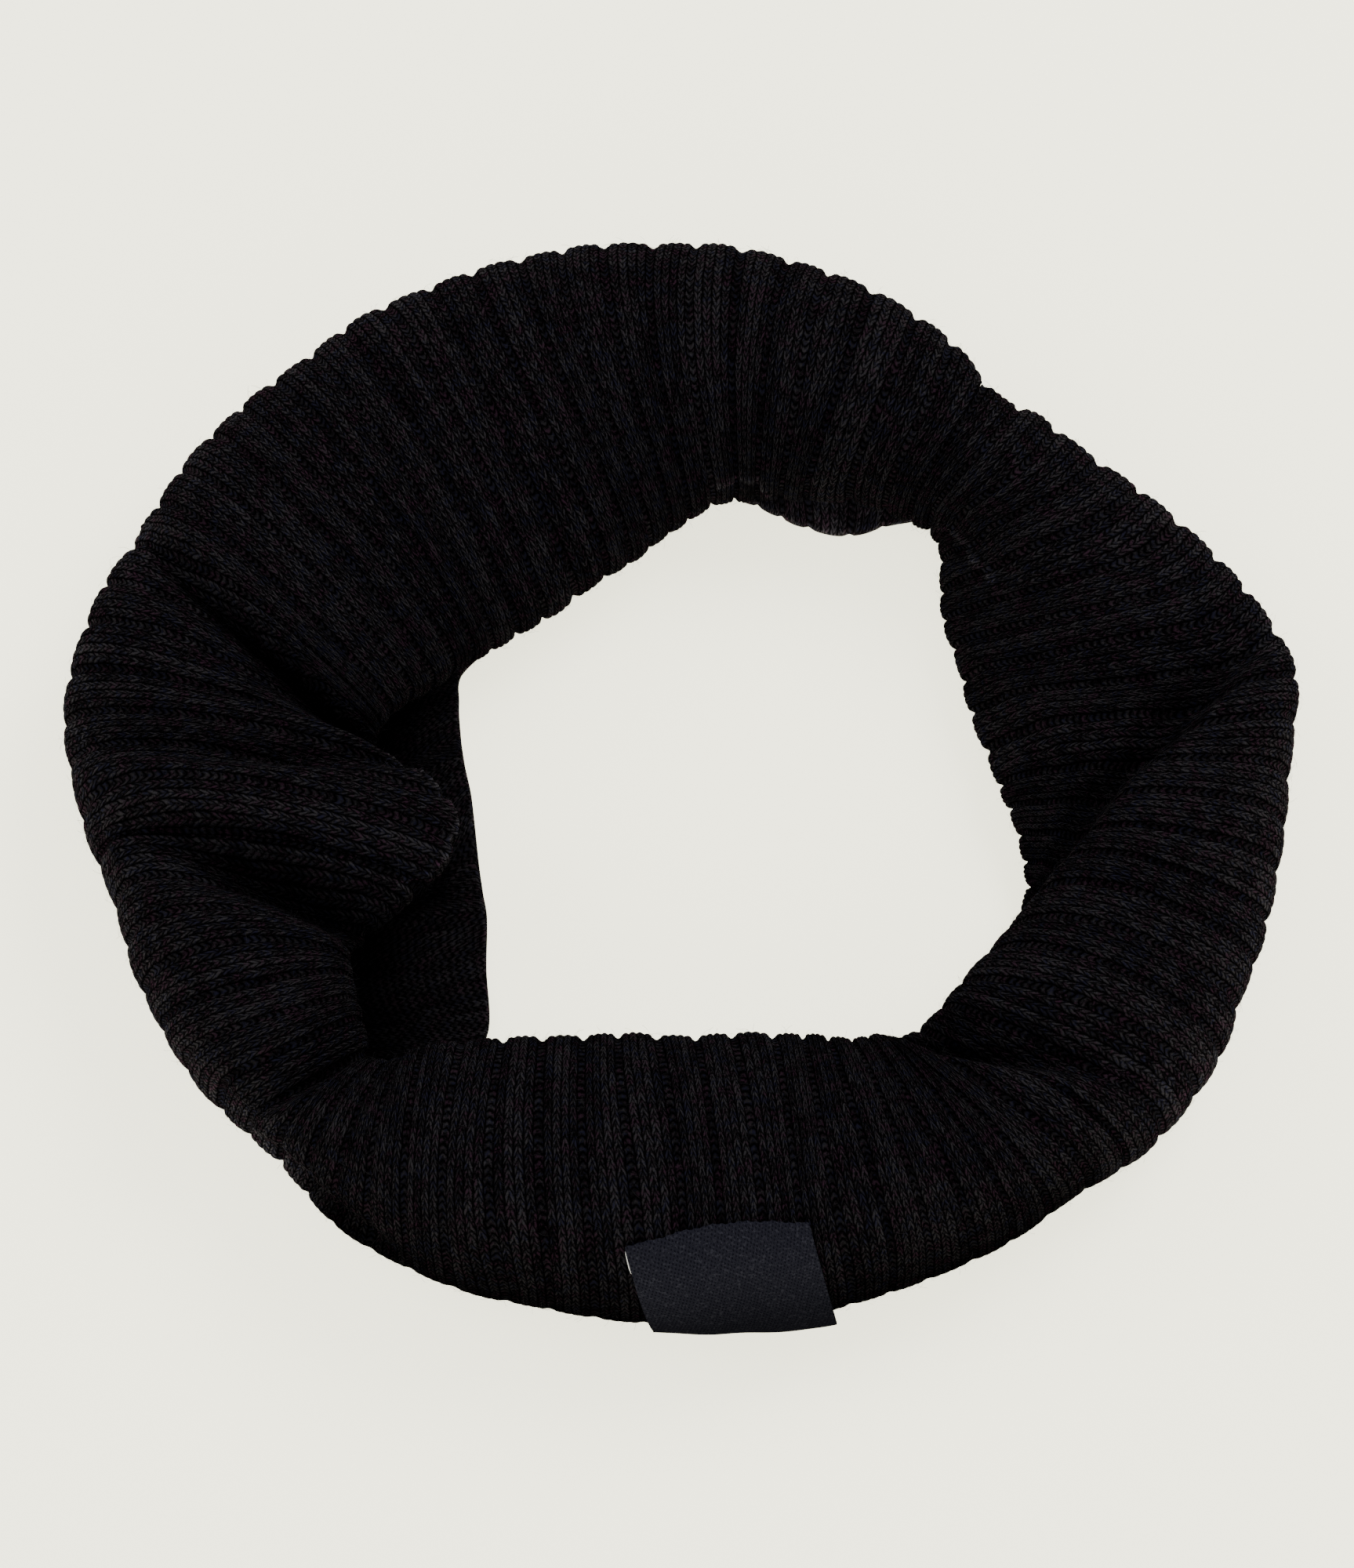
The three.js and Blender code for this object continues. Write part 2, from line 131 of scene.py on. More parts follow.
SECTIONS = tuple(
    Section(*row)
    for row in (
        (0.0, -89, -84, 19, -80, -76, 40, -70, -64, 24, 8, -50, -60, 1),
        (2.6, -107, -67, 21, -90, -63, 44, -72, -53, 29, 10, -43.5, -50, 1),
        (5.1, -120, -45, 22, -99, -42, 45, -75, -41, 29, 12, -44, -34, 1),
        (6.9, -126.5, -27, 23, -107, -26, 44, -72, -31, 26, 12, -44, -22, 1),
        (7.8, -130, -18, 24, -106, -17, 45.5, -61, -26, 30, 20, -45, -16, 1),
        (8.7, -133.5, -9, 24, -104, -8, 47, -53, -18, 33, 24, -46, -9, 1),
        (9.6, -136.5, 2, 24, -102, 1, 47, -52, -9, 33, 24, -47, 0, 1),
        (10.9, -139, 15, 24, -105, 10, 45, -60, 2, 32, 23, -48, 8, 1),
        (12.2, -138, 29, 24, -108, 20, 44, -68, 8, 30, 22, -49.5, 15, 1),
        (13.6, -132.5, 45, 24, -105, 33, 45, -70, 12, 28, 18, -50.5, 22, 1),
        (15.6, -122, 65, 25, -97, 44, 47, -67, 18, 28, 14, -51, 30, 1),
        (18.4, -106, 88, 25, -82, 61, 48, -55, 30, 24, 8, -50, 38, 1),
        (22.3, -75, 114, 25, -57, 80, 48, -36, 43.5, 21, 7, -37, 49, 1),
        (25.5, -43, 128, 25, -33, 97, 48, -14, 58, 21, 7, -17, 63, 1),
        (28.7, -9, 134, 25, -9, 104, 48, 1, 70, 21, 7, 1, 77, 1),
        (31.0, 15, 132.5, 25, 12, 105, 48, 13, 76, 22, 7, 13, 80, 1),
        (33.9, 44, 122, 25, 38, 100, 48, 29, 76, 22, 7, 29, 73, 1),
        (35.0, 55, 115, 25, 49, 93, 48, 40, 75, 22, 7, 39, 71, 1),
        (37.0, 71, 100, 25, 64, 82, 46, 54, 71, 19, 7, 53, 75, 0.9),
        (39.2, 89, 86, 25, 78, 69, 44, 61, 66, 14, 6, 66, 70, 0.65),
        (41.0, 106, 72, 25, 90, 57, 42, 62, 55, 9.5, 5, 66, 56, 0.45),
        (42.7, 121, 59, 25, 103, 44, 40, 64, 43, 9.5, 5, 68, 43, 0.35),
        (44.7, 134, 41, 25, 114, 28, 40, 68, 28, 9.5, 5, 72, 27, 0.3),
        (45.8, 139, 29, 25, 119, 20, 42, 71, 18, 9.5, 5, 75, 17, 0.3),
        (46.8, 139, 18, 25, 118, 10, 46, 74, 9, 9.5, 5, 78, 8, 0.3),
        (48.7, 136.5, -5, 24, 110, -6, 48, 77.5, -3, 9.5, 5, 81, -4, 0.35),
        (50.8, 132.5, -28, 22, 103, -22, 48, 80.5, -16, 10, 5, 84, -17, 0.45),
        (52.6, 127.5, -47, 21, 98, -37, 48, 76.5, -30, 20, 7, 78, -32, 0.8),
        (54.2, 120, -62, 20, 91, -50, 48, 68.5, -42, 25, 8, 70, -44, 1),
        (56.2, 106, -80, 19, 80, -66, 47, 58, -55, 25, 8, 58, -57, 1),
        (58.2, 89, -92, 18, 70, -80, 47, 47, -59, 25, 8, 46, -60, 1),
        (60.7, 68, -106, 18, 57, -88, 49, 43, -60, 25, 8, 42, -64, 1),
        (64.2, 36, -118, 18, 31, -92, 49, 26, -60, 25, 8, 25, -64, 1),
        (68.0, 2, -122, 18, -1, -93, 49, -5, -60, 25, 8, -5, -64, 1),
        (72.0, -39, -116.5, 18, -41, -92, 49, -39, -60, 25, 8, -37, -62, 1),
        (73.7, -57, -110.5, 18, -58, -89, 48, -54, -62, 25, 8, -46, -60, 1),
        (76.0, -77, -99, 18, -71, -83, 44, -64, -66, 25, 8, -50, -61, 1),
    )
)
FOLDS = lines_of(
    Crease,
    left_upper=(
        (15.2, 0.14, 2, 14, 9), (14.8, 0.33, 7, 15, 8, 3), (14.4, 0.53, 10, 16, 7, 6),
        (13.8, 0.69, 12, 17, 7, 7), (13.1, 0.82, 12, 16, 7, 7), (12.6, 0.94, 9, 15, 7, 5),
        (12.4, 1.3, 4, 15, 12),
    ),
    left_small=(
        (10.0, 0.16, 1.5, 7, 12), (9.7, 0.47, 5, 6, 13, 1.5), (9.9, 0.58, 6, 6, 13, 2),
        (10.7, 0.78, 6, 6, 12, 2.5), (11.2, 0.94, 5, 6, 12, 1.5), (11.4, 1.3, 2, 8, 12),
    ),
    left_valley=(
        (8.1, 0.22, 2, 15, 9), (7.8, 0.42, 8, 15, 7, 2), (7.5, 0.58, 13, 16, 7, 4),
        (7.2, 0.75, 15, 17, 7, 5), (6.9, 0.92, 11, 16, 8, 4), (6.8, 1.3, 4, 14, 12),
    ),
    left_valley_floor=(
        (7.7, 0.48, 1, 8, 8), (7.1, 0.66, 3, 12, 9), (6.4, 0.82, 4, 12, 9, 1),
        (5.9, 0.95, 3, 12, 9, 1), (5.7, 1.3, 1, 12, 10),
    ),
    left_corner=(
        (1.5, 0.06, 2, 10, 12), (1.1, 0.23, 4, 8, 14, 1), (0.8, 0.54, 9, 8, 16, 3),
        (0.6, 0.83, 10, 8, 16, 6), (0.6, 1.0, 7, 9, 16, 5), (0.6, 1.3, 4, 14, 16),
    ),
    right_deep=(
        (44.8, 0.26, 1.5, 15, 10), (45.2, 0.42, 7, 18, 7, 2, 7), (46.2, 0.55, 12, 22, 7, 6, 8),
        (47.5, 0.62, 16, 25, 7, 7, 8), (49.2, 0.69, 18, 27, 7, 7, 8), (51.0, 0.8, 14, 22, 8, 5, 7),
        (52.4, 0.92, 5, 15, 9, 2, 5),
    ),
    right_ridge=(
        (43.6, 0.9, -2, 7, 9), (45.0, 0.82, -3, 6, 10), (46.4, 0.76, -2, 6, 9),
    ),
    right_curl=(
        (38.4, 1.0, 3, 13, 9), (38.9, 0.84, 5, 12, 5), (40.0, 0.76, 5, 12, 5), (41.2, 0.71, 2, 11, 6),
    ),
    front_corner=(
        (55.6, 0.24, 1.5, 13, 9), (56.0, 0.36, 5, 14, 7, 1), (56.6, 0.52, 10, 16, 7, 3),
        (57.3, 0.7, 13, 18, 7, 5), (57.9, 0.86, 11, 17, 7, 5), (58.3, 1.0, 7, 15, 8, 3),
        (58.5, 1.3, 1.5, 14, 12),
    ),
    back_notch=(
        (37.2, -0.1, 2.5, 12, 12), (37.4, 0.16, 2, 12, 12),
    ),
    front_flap=(
        (78.2, 0.04, 1.5, 9, 9), (76.6, 0.13, 3, 9, 9), (75.0, 0.06, 2, 9, 9),
    ),
    hidden_back=(
        (24, -0.28, 1.5, 16, 16), (27, -0.1, 2, 18, 18),
    ),
    hidden_right=(
        (50, -0.25, 1.5, 16, 16), (52.5, -0.05, 1.5, 16, 16),
    ),
)
HEM_EDGES = lines_of(
    EdgePoint,
    left_flap=(
        (12.4, 0.9), (11.1, 0.92), (10.0, 0.95), (9.3, 0.97), (8.8, 0.97), (8.3, 0.96), (7.9, 0.92),
    ),
    back=(
        (30.2, 0.94), (31.2, 0.925), (32.0, 0.95), (32.5, 1.02),
    ),
    right_curl=(
        (38.6, 0.88), (39.6, 0.81), (40.7, 0.77), (41.4, 0.75),
    ),
)


@dataclass(frozen=True)
class KnitGauge:
    """Sizes of the knit, in millimetres, and how the tube is rolled."""

    rib_count: int = 78
    wales_per_rib: int = 5
    rib_pitch: float = 10.0
    course: float = 1.9
    wall: float = 2.6
    rib_height: float = 1.5
    wale_depth: float = 0.5
    gap_full: float = 6.0
    lining_spread: float = 5.0
    hem_edge_reach: float = 1.6
    hem_edge_rise: float = 0.5
    layer_gap: float = 0.5
    layer_thickness: float = 3.2
    across_low: float = -0.3
    across_high: float = 1.2
    foot_span: float = 0.3
    foot_inset: float = 13.0
    foot_z: float = 1.9
    foot_turn: float = math.radians(75)
    hem_span: float = 0.2
    hem_turn: float = math.radians(70)
    hem_inset: float = 4.5
    hem_slope: float = 0.65
    rib_length_scale: float = 9.0
    across_scale: float = 85.0


def unit(vectors: Array) -> Array:
    """Vectors of length one along the last axis."""
    return vectors / np.linalg.norm(vectors, axis=-1, keepdims=True)


def ease(low: float, high: float, value: Array) -> Array:
    """Smooth step from 0 at low to 1 at high."""
    t = np.clip((value - low) / (high - low), 0, 1)
    return t * t * (3 - 2 * t)


def dip(near: Array) -> Array:
    """Soft trough: 1 at 0, falling to 0 at 1 and beyond."""
    return 0.5 + 0.5 * np.cos(np.pi * np.minimum(near, 1))


def between(start: float, end: float, share: Array) -> Array:
    """Values at a share of the way from start to end."""
    return start + (end - start) * share


def grids(*values: Union[Array, float]) -> Sequence[Array]:
    """The values as arrays of one shape."""
    return np.broadcast_arrays(*(np.asarray(value, float) for value in values))


def placed(plan: Array, z: Union[Array, float]) -> Array:
    """Points of a plan at a height."""
    return np.concatenate([plan, np.broadcast_to(z, plan.shape[:-1])[..., None]], -1)


def course_numbers(points: Array, course: float) -> Array:
    """Course number of each point along each row of points."""
    lengths = np.linalg.norm(np.diff(points, axis=1), axis=-1)
    return np.concatenate([np.zeros((len(points), 1)), np.cumsum(lengths, 1)], 1) / course


def quads(ids: Array, closed: bool = True) -> list[list[int]]:
    """Faces between neighbouring rows of point numbers; closed joins the ends of each row."""
    low, high = (ids, np.roll(ids, -1, 1)) if closed else (ids[:, :-1], ids[:, 1:])
    return np.stack([low[:-1], high[:-1], high[1:], low[1:]], -1).reshape(-1, 4).tolist()


class Shape(NamedTuple):
    """Interpolated cross-sections, one for each rib asked for."""

    outer: Array
    top: Array
    inner: Array
    hem_z: Array
    edge: Array
    roundness: Array


class RollSurface:
    """The rolled tube as a surface of rib number and across coordinate, in millimetres.

    Across runs from the foot below the outer side (below 0) over the crown (0.5) to the hem (above 1).
    """

    FRONT = (55, 59, 76, 78)  # ribs where the front sets in and where it ends
    # Painted light and shade of the yarn: shade in folds and gaps, shade low on the front, light low on
    # the sides and a highlight on hem edges.
    FOLD_SHADE, FOLD_DEPTHS = 0.1, (6, 18)
    GAP_SHADE, GAP_SHARES = 0.3, (0.1, 1)
    LOW_ACROSS = (-0.05, 0.34)
    SIDE_LIGHT, FRONT_SHADE, HEM_LIGHT = 0.95, 0.8, 1.6
    RESTING_ACROSS, RESTING_LOSS = (-0.3, -0.08), 0.55
    STRETCHED_ACROSS, STRETCHED_LOSS = (0.02, 0.3), 0.7
    SLACK = ((0.35, 7, 2.1, 0.0), (0.28, 17, 6.3, 1.3), (0.2, 29, -9.0, 0.4))
    SLACK_ACROSS = (-0.2, 0.15)
    SIDEWAYS_ACROSS = (0, 0.28)

    def __init__(self, gauge: KnitGauge) -> None:
        """Extends the table of sections past both ends of the turn."""
        self.gauge = gauge
        rows = np.array(SECTIONS, float)
        turn = np.zeros(rows.shape[1])
        turn[0] = gauge.rib_count
        self._rows = np.vstack([rows[-2:] - turn, rows, rows[:2] + turn])

    def shape(self, rib: Array) -> Shape:
        """Cross-sections between the rows of the table, smooth all round.

        Args:
            rib: Rib numbers.

        Returns:
            The sections at those ribs.
        """
        rib = np.asarray(rib, float) % self.gauge.rib_count
        rows = self._rows
        k = np.searchsorted(rows[2:-2, 0], rib, side="right") + 1
        before, low, high, after = rows[k - 1], rows[k], rows[k + 1], rows[k + 2]
        span = high[..., :1] - low[..., :1]
        t = (rib - low[..., 0])[..., None] / span
        slope_low = (high - before) / (high[..., :1] - before[..., :1]) * span
        slope_high = (after - low) / (after[..., :1] - low[..., :1]) * span
        c = (
            (2 * t**3 - 3 * t**2 + 1) * low
            + (t**3 - 2 * t**2 + t) * slope_low
            + (3 * t**2 - 2 * t**3) * high
            + (t**3 - t**2) * slope_high
        )
        at = Section._fields.index
        outer, top, inner = (c[..., at(x) : at(x) + 3] for x in ("out_x", "top_x", "in_x"))
        edge = c[..., at("edge_x") : at("edge_y") + 1]
        return Shape(outer, top, inner, c[..., at("hem_z")], edge, c[..., at("roundness")])

    def away_from_hole(self, rib: Array) -> Array:
        """Level directions square to the inner edge, away from the hole."""
        step = 0.1
        along = unit((self.shape(rib + step).inner - self.shape(rib - step).inner)[..., :2])
        return np.stack([-along[..., 1], along[..., 0]], -1)

    def smooth(self, rib: Array, across: Array) -> Array:
        """Points of the roll without folds or ribs.

        Args:
            rib: Rib numbers.
            across: Across coordinates.

        Returns:
            Points, in millimetres.
        """
        g = self.gauge
        rib, across = grids(rib, across)
        c = self.shape(rib)
        angle = np.clip(across, 0, 1) * np.pi
        s = (1 - np.cos(angle)) / 2
        weights = ((2 * s - 1) * (s - 1), 4 * s * (1 - s), s * (2 * s - 1))
        plan = sum(p[..., :2] * w[..., None] for p, w in zip((c.outer, c.top, c.inner), weights))
        side = np.where(across < 0.5, c.outer[..., 2], c.inner[..., 2])
        sine = np.sin(angle)
        rise = np.where(across < 0.5, sine, c.roundness * sine + (1 - c.roundness) * sine**2)
        over = placed(plan, side + (c.top[..., 2] - side) * rise)

        def turned(start: Array, low: Array, turn: Array, inwards: Array, inset: Array) -> Array:
            """Points where the wall turns under, by an angle, towards a lowest height."""
            reach = inset * (1 - np.cos(turn))
            drop = start[..., 2] - (start[..., 2] - low) * np.sin(turn)
            return placed(start[..., :2] + inwards * reach[..., None], drop)

        inwards = unit((c.top - c.outer)[..., :2])
        foot = turned(c.outer, g.foot_z, -across / g.foot_span * g.foot_turn, inwards, g.foot_inset)
        inset = np.maximum(g.hem_inset, g.hem_slope * (c.inner[..., 2] - c.hem_z))
        turn = (across - 1) / g.hem_span * g.hem_turn
        hem = turned(c.inner, c.hem_z, turn, self.away_from_hole(rib), inset)
        over = np.where((across < 0)[..., None], foot, over)
        return np.where((across > 1)[..., None], hem, over)

    def normal(self, rib: Array, across: Array) -> Array:
        """Directions out of the cloth."""
        step = 0.02
        along = self.smooth(rib + step, across) - self.smooth(rib - step, across)
        over = self.smooth(rib, across + step) - self.smooth(rib, across - step)
        return unit(np.cross(over, along))

    def beside(self, start: Point, end: Point, rib: Array, across: Array) -> tuple[Array, Array, Array]:
        """Where places lie beside a stretch of a line.

        Args:
            start: First point of the line.
            end: Its second point.
            rib: Rib numbers.
            across: Across coordinates.

        Returns:
            Share along the line, distance in millimetres, and whether the place is on its left.
        """
        g = self.gauge
        half = g.rib_count / 2
        x = ((rib - start.rib + half) % g.rib_count - half) * g.rib_length_scale
        y = (across - start.across) * g.across_scale
        dx = (end.rib - start.rib) * g.rib_length_scale
        dy = (end.across - start.across) * g.across_scale
        share = np.clip((x * dx + y * dy) / (dx * dx + dy * dy), 0, 1)
        return share, np.hypot(x - dx * share, y - dy * share), dx * y - dy * x > 0

    def creases(self, rib: Array, across: Array, spread: float = 0.0) -> tuple[Array, Array]:
        """How far the folds sink the cloth.

        Args:
            rib: Rib numbers.
            across: Across coordinates.
            spread: How much further the gaps reach, in millimetres.

        Returns:
            Depths of the soft folds, negative on a ridge, and of the narrow gaps, in millimetres.
        """
        rib, across = grids(rib, across)
        folds, gaps = np.zeros(rib.shape), np.zeros(rib.shape)
        for line in FOLDS.values():
            deepest = np.zeros(rib.shape)
            for start, end in zip(line, line[1:]):
                share, distance, on_left = self.beside(start, end, rib, across)
                left = between(start.left, end.left, share)
                right = between(start.right, end.right, share)
                near = distance / np.where(on_left, left, right)
                depth = between(start.depth, end.depth, share) * dip(near)
                deepest = np.where(np.abs(depth) > np.abs(deepest), depth, deepest)
                gap = between(start.gap, end.gap, share)
                reach = between(start.gap_reach, end.gap_reach, share)
                gaps = np.maximum(gaps, gap * dip(distance / (reach + spread)))
            folds += deepest
        return folds, gaps

    def hem_edge(self, rib: Array, across: Array) -> Array:
        """Share of the thin raised edge of a hem at a place."""
        rib, across = grids(rib, across)
        found = np.zeros(rib.shape)
        for line in HEM_EDGES.values():
            for start, end in zip(line, line[1:]):
                distance = self.beside(start, end, rib, across)[1]
                found = np.maximum(found, dip(distance / self.gauge.hem_edge_reach))
        return found

    def front(self, rib: Array) -> Array:
        """Share of the front at a rib."""
        rib = np.asarray(rib, float) % self.gauge.rib_count
        return ease(*self.FRONT[:2], rib) * (1 - ease(*self.FRONT[2:], rib))

    def exposure(self, rib: Array, across: Array) -> Array:
        """Painted light and shade of the yarn: painted shade deep in a fold, in a gap and low on the
        front, painted light low on the sides, and a painted highlight on the edge of a hem.
        """
        folds, gaps = self.creases(rib, across)
        shaded = 1 - self.FOLD_SHADE * ease(*self.FOLD_DEPTHS, folds)
        in_gap = 1 - self.GAP_SHADE * ease(*self.GAP_SHARES, gaps / self.gauge.gap_full)
        low = 1 - ease(*self.LOW_ACROSS, across)
        front = self.front(rib)
        outside = 1 + (self.SIDE_LIGHT * (1 - front) - self.FRONT_SHADE * front) * low
        return shaded * in_gap * outside * (1 + self.HEM_LIGHT * self.hem_edge(rib, across))

    def rib_strength(self, rib: Array, across: Array) -> Array:
        """How far the ribs stand up: less under the stretched front and where the knit rests."""
        resting = 1 - ease(*self.RESTING_ACROSS, across)
        stretched = self.front(rib) * (1 - ease(*self.STRETCHED_ACROSS, across))
        return (1 - self.STRETCHED_LOSS * stretched) * (1 - self.RESTING_LOSS * resting)

    def slack(self, rib: Array, across: Array) -> Array:
        """Slow unevenness of cloth that lies loose, in millimetres."""
        turn = 2 * np.pi * rib / self.gauge.rib_count
        waves = sum(
            size * np.sin(count * turn + lean * across + start)
            for size, count, lean, start in self.SLACK
        )
        return waves * ease(*self.SLACK_ACROSS, across)

    def point(self, rib: Array, across: Array, height: Array, spread: float = 0.0) -> Array:
        """Points at a height above the wall's outer side, folds and slack included.

        Args:
            rib: Rib numbers.
            across: Across coordinates.
            height: Heights along the normal, in millimetres.
            spread: How much further the gaps reach, in millimetres.

        Returns:
            Points, in millimetres.
        """
        rib, across, height = grids(rib, across, height)
        n = self.normal(rib, across)
        inwards = 1 - ease(*self.SIDEWAYS_ACROSS, across)
        down = np.maximum(n[..., 2], 1 - inwards)
        sink = unit(np.stack([n[..., 0] * inwards, n[..., 1] * inwards, down], -1))
        lift = height + self.slack(rib, across)
        depth = sum(self.creases(rib, across, spread))
        return self.smooth(rib, across) + n * lift[..., None] - sink * depth[..., None]


class Bench:
    """Adds nodes to one tree, feeds their sockets and joins them."""

    def __init__(self, tree: bpy.types.NodeTree) -> None:
        """Opens the tree for work."""
        self.tree = tree
        self._ends: dict[str, bpy.types.Node] = {}

    def add(self, kind: str, feeds: Optional[dict] = None, **settings: object) -> bpy.types.Node:
        """Adds a node.

        Args:
            kind: Its type.
            feeds: Values and sockets for its inputs, by name or number.
            **settings: Its own settings.

        Returns:
            The node.
        """
        node = self.tree.nodes.new(kind)
        for name, value in settings.items():
            setattr(node, name, value)
        for key, value in (feeds or {}).items():
            self.feed(node.inputs[key], value)
        return node

    def feed(self, socket: Socket, value: Value) -> None:
        """Joins the value to the socket if it is a socket, or else sets it."""
        if isinstance(value, bpy.types.NodeSocket):
            self.tree.links.new(value, socket)
        else:
            socket.default_value = value

    def _end(self, kind: str) -> bpy.types.Node:
        """The group's one input or output node."""
        if kind not in self._ends:
            self._ends[kind] = self.add(kind)
        return self._ends[kind]

    def inputs(self, kind: str, **defaults: Optional[Value]) -> list[Socket]:
        """Adds inputs of one kind to the group.

        Args:
            kind: The end of the socket type's name.
            **defaults: Each input's value when nothing is joined, by name with _ for a space.

        Returns:
            The sockets inside the group.
        """
        found = []
        for key, default in defaults.items():
            name = key.replace("_", " ")
            face = self.tree.interface
            socket = face.new_socket(name=name, in_out="INPUT", socket_type=f"NodeSocket{kind}")
            if default is not None:
                socket.default_value = default
            found.append(self._end("NodeGroupInput").outputs[name])
        return found

    def outputs(self, kind: str, **values: Socket) -> None:
        """Adds a named output of the kind for each value and joins the value to it."""
        for name, value in values.items():
            face = self.tree.interface
            face.new_socket(name=name, in_out="OUTPUT", socket_type=f"NodeSocket{kind}")
            self.tree.links.new(value, self._end("NodeGroupOutput").inputs[name])

    def math(self, operation: str, *values: Value) -> Socket:
        """The result of a Math node."""
        return self.add("ShaderNodeMath", dict(enumerate(values)), operation=operation).outputs[0]

    def times(self, a: Value, b: Value, plus: Optional[Value] = None) -> Socket:
        """The product of two values, and a third added to it if there is one."""
        return self.math("MULTIPLY", a, b) if plus is None else self.math("MULTIPLY_ADD", a, b, plus)

    def fract(self, value: Value) -> Socket:
        """What is left of the value past the whole number below it."""
        return self.math("FRACT", value)

    def off_middle(self, value: Value) -> Socket:
        """Distance from the middle of a span of 0 to 1: 0 there and 1 at both ends."""
        return self.math("ABSOLUTE", self.times(value, 2.0, -1.0))

    def ramp(
        self, value: Value, low: float, high: float, start: float = 0.0, end: float = 1.0
    ) -> Socket:
        """Smooth step of the value from start at low to end at high."""
        feeds = {"Value": value, "From Min": low, "From Max": high, "To Min": start, "To Max": end}
        return self.add("ShaderNodeMapRange", feeds, interpolation_type="SMOOTHSTEP").outputs["Result"]

    def lobe(self, value: Value) -> Socket:
        """A round hump over 0 to 1: 1 - (2v - 1)^2."""
        centred = self.times(value, 2.0, -1.0)
        return self.math("SUBTRACT", 1.0, self.times(centred, centred))

    def vector(self, operation: str, feeds: dict) -> Socket:
        """The result of a Vector Math node."""
        return self.add("ShaderNodeVectorMath", feeds, operation=operation).outputs[0]

    def scale(self, vector: Value, amount: Value) -> Socket:
        """A vector or colour times a number."""
        return self.vector("SCALE", {0: vector, "Scale": amount})

    def parts(self, vector: Socket) -> tuple[Socket, Socket]:
        """The first two numbers of a vector."""
        split = self.add("ShaderNodeSeparateXYZ", {0: vector})
        return split.outputs["X"], split.outputs["Y"]

    def joined(self, **numbers: Value) -> Socket:
        """A vector of numbers for X, Y and Z."""
        return self.add("ShaderNodeCombineXYZ", numbers).outputs[0]

    def noise(self, **feeds: float) -> bpy.types.Node:
        """A noise texture in the object's own space."""
        place = self.add("ShaderNodeTexCoord").outputs["Object"]
        return self.add("ShaderNodeTexNoise", {"Vector": place, **feeds})

    def attribute(self, name: str) -> Socket:
        """A number stored on the piece's points."""
        return self.add("ShaderNodeAttribute", attribute_name=name).outputs["Fac"]

    def mix(self, share: Value, a: Value, b: Value) -> Socket:
        """A mix of two colours."""
        node = self.add("ShaderNodeMix", {0: share}, data_type="RGBA")
        for socket, value in zip([s for s in node.inputs if s.type == "RGBA"], (a, b)):
            self.feed(socket, value)
        return [s for s in node.outputs if s.type == "RGBA"][0]

    def use(self, tree: bpy.types.NodeTree, **values: Value) -> bpy.types.Node:
        """Places a shader group; each keyword is an input's name."""
        return self.add("ShaderNodeGroup", values, node_tree=tree)

    def finish(self, shape: Socket, yarn: Socket, name: str) -> None:
        """Ends a geometry tree: real geometry, in the material, at a named output."""
        real = self.add("GeometryNodeRealizeInstances", {0: shape}).outputs[0]
        done = self.add("GeometryNodeSetMaterial", {"Geometry": real, "Material": yarn}).outputs[0]
        self.outputs("Geometry", **{name: done})


def group(name: str, kind: str) -> Bench:
    """A bench on a new group of nodes, of the kind Shader or Geometry."""
    return Bench(bpy.data.node_groups.new(name, f"{kind}NodeTree"))


def run_nodes(piece: bpy.types.Object, tree: bpy.types.NodeTree, **values: object) -> None:
    """Runs a geometry tree on the piece and keeps the result as its plain mesh.

    Args:
        piece: The object that the tree starts from.
        tree: The geometry tree.
        **values: Inputs by name, with _ for a space.
    """
    modifier = piece.modifiers.new(tree.name, "NODES")
    modifier.node_group = tree
    sockets = {s.name: s.identifier for s in tree.interface.items_tree if s.item_type == "SOCKET"}
    for name, value in values.items():
        modifier[sockets[name.replace("_", " ")]] = value
    graph = bpy.context.evaluated_depsgraph_get()
    mesh = bpy.data.meshes.new_from_object(
        piece.evaluated_get(graph), preserve_all_data_layers=True, depsgraph=graph
    )
    piece.modifiers.clear()
    piece.data = mesh
    mesh.name = piece.name


def new_object(name: str, data: bpy.types.ID) -> bpy.types.Object:
    """A new object in the scene, at the origin."""
    piece = bpy.data.objects.new(name, data)
    bpy.context.scene.collection.objects.link(piece)
    return piece


def new_piece(
    name: str, points: Array, faces: Sequence[Sequence[int]], stitches: Array, flat_faces: int = 0
) -> bpy.types.Object:
    """Makes a mesh object from points in millimetres.

    Args:
        name: Name of the piece.
        points: Its points in the tables' plan.
        faces: Point numbers of each face, outwards.
        stitches: Wale and course number of each point.
        flat_faces: How many faces at the end of the list are shaded flat.

    Returns:
        The object, at the origin, in metres.
    """
    mesh = bpy.data.meshes.new(name)
    in_metres = (points.reshape(-1, 3) - np.array([*MIDDLE, 0.0])) * MM
    mesh.from_pydata(in_metres.tolist(), [], faces)
    shading = np.ones(len(faces), bool)
    shading[len(faces) - flat_faces :] = False
    mesh.polygons.foreach_set("use_smooth", shading)
    corners = np.zeros(len(mesh.loops), np.int32)
    mesh.loops.foreach_get("vertex_index", corners)
    layer = mesh.uv_layers.new(name=STITCHES)
    layer.uv.foreach_set("vector", stitches.reshape(-1, 2)[corners].astype(np.float32).ravel())
    mesh.update()
    return new_object(name, mesh)


def keep_attributes(piece: bpy.types.Object, **fields: Array) -> None:
    """Stores numbers or vectors for the points of the piece."""
    for name, values in fields.items():
        many = values.size > len(piece.data.vertices)
        kind, key = ("FLOAT_VECTOR", "vector") if many else ("FLOAT", "value")
        attribute = piece.data.attributes.new(name, kind, "POINT")
        attribute.data.foreach_set(key, values.astype(np.float32).ravel())


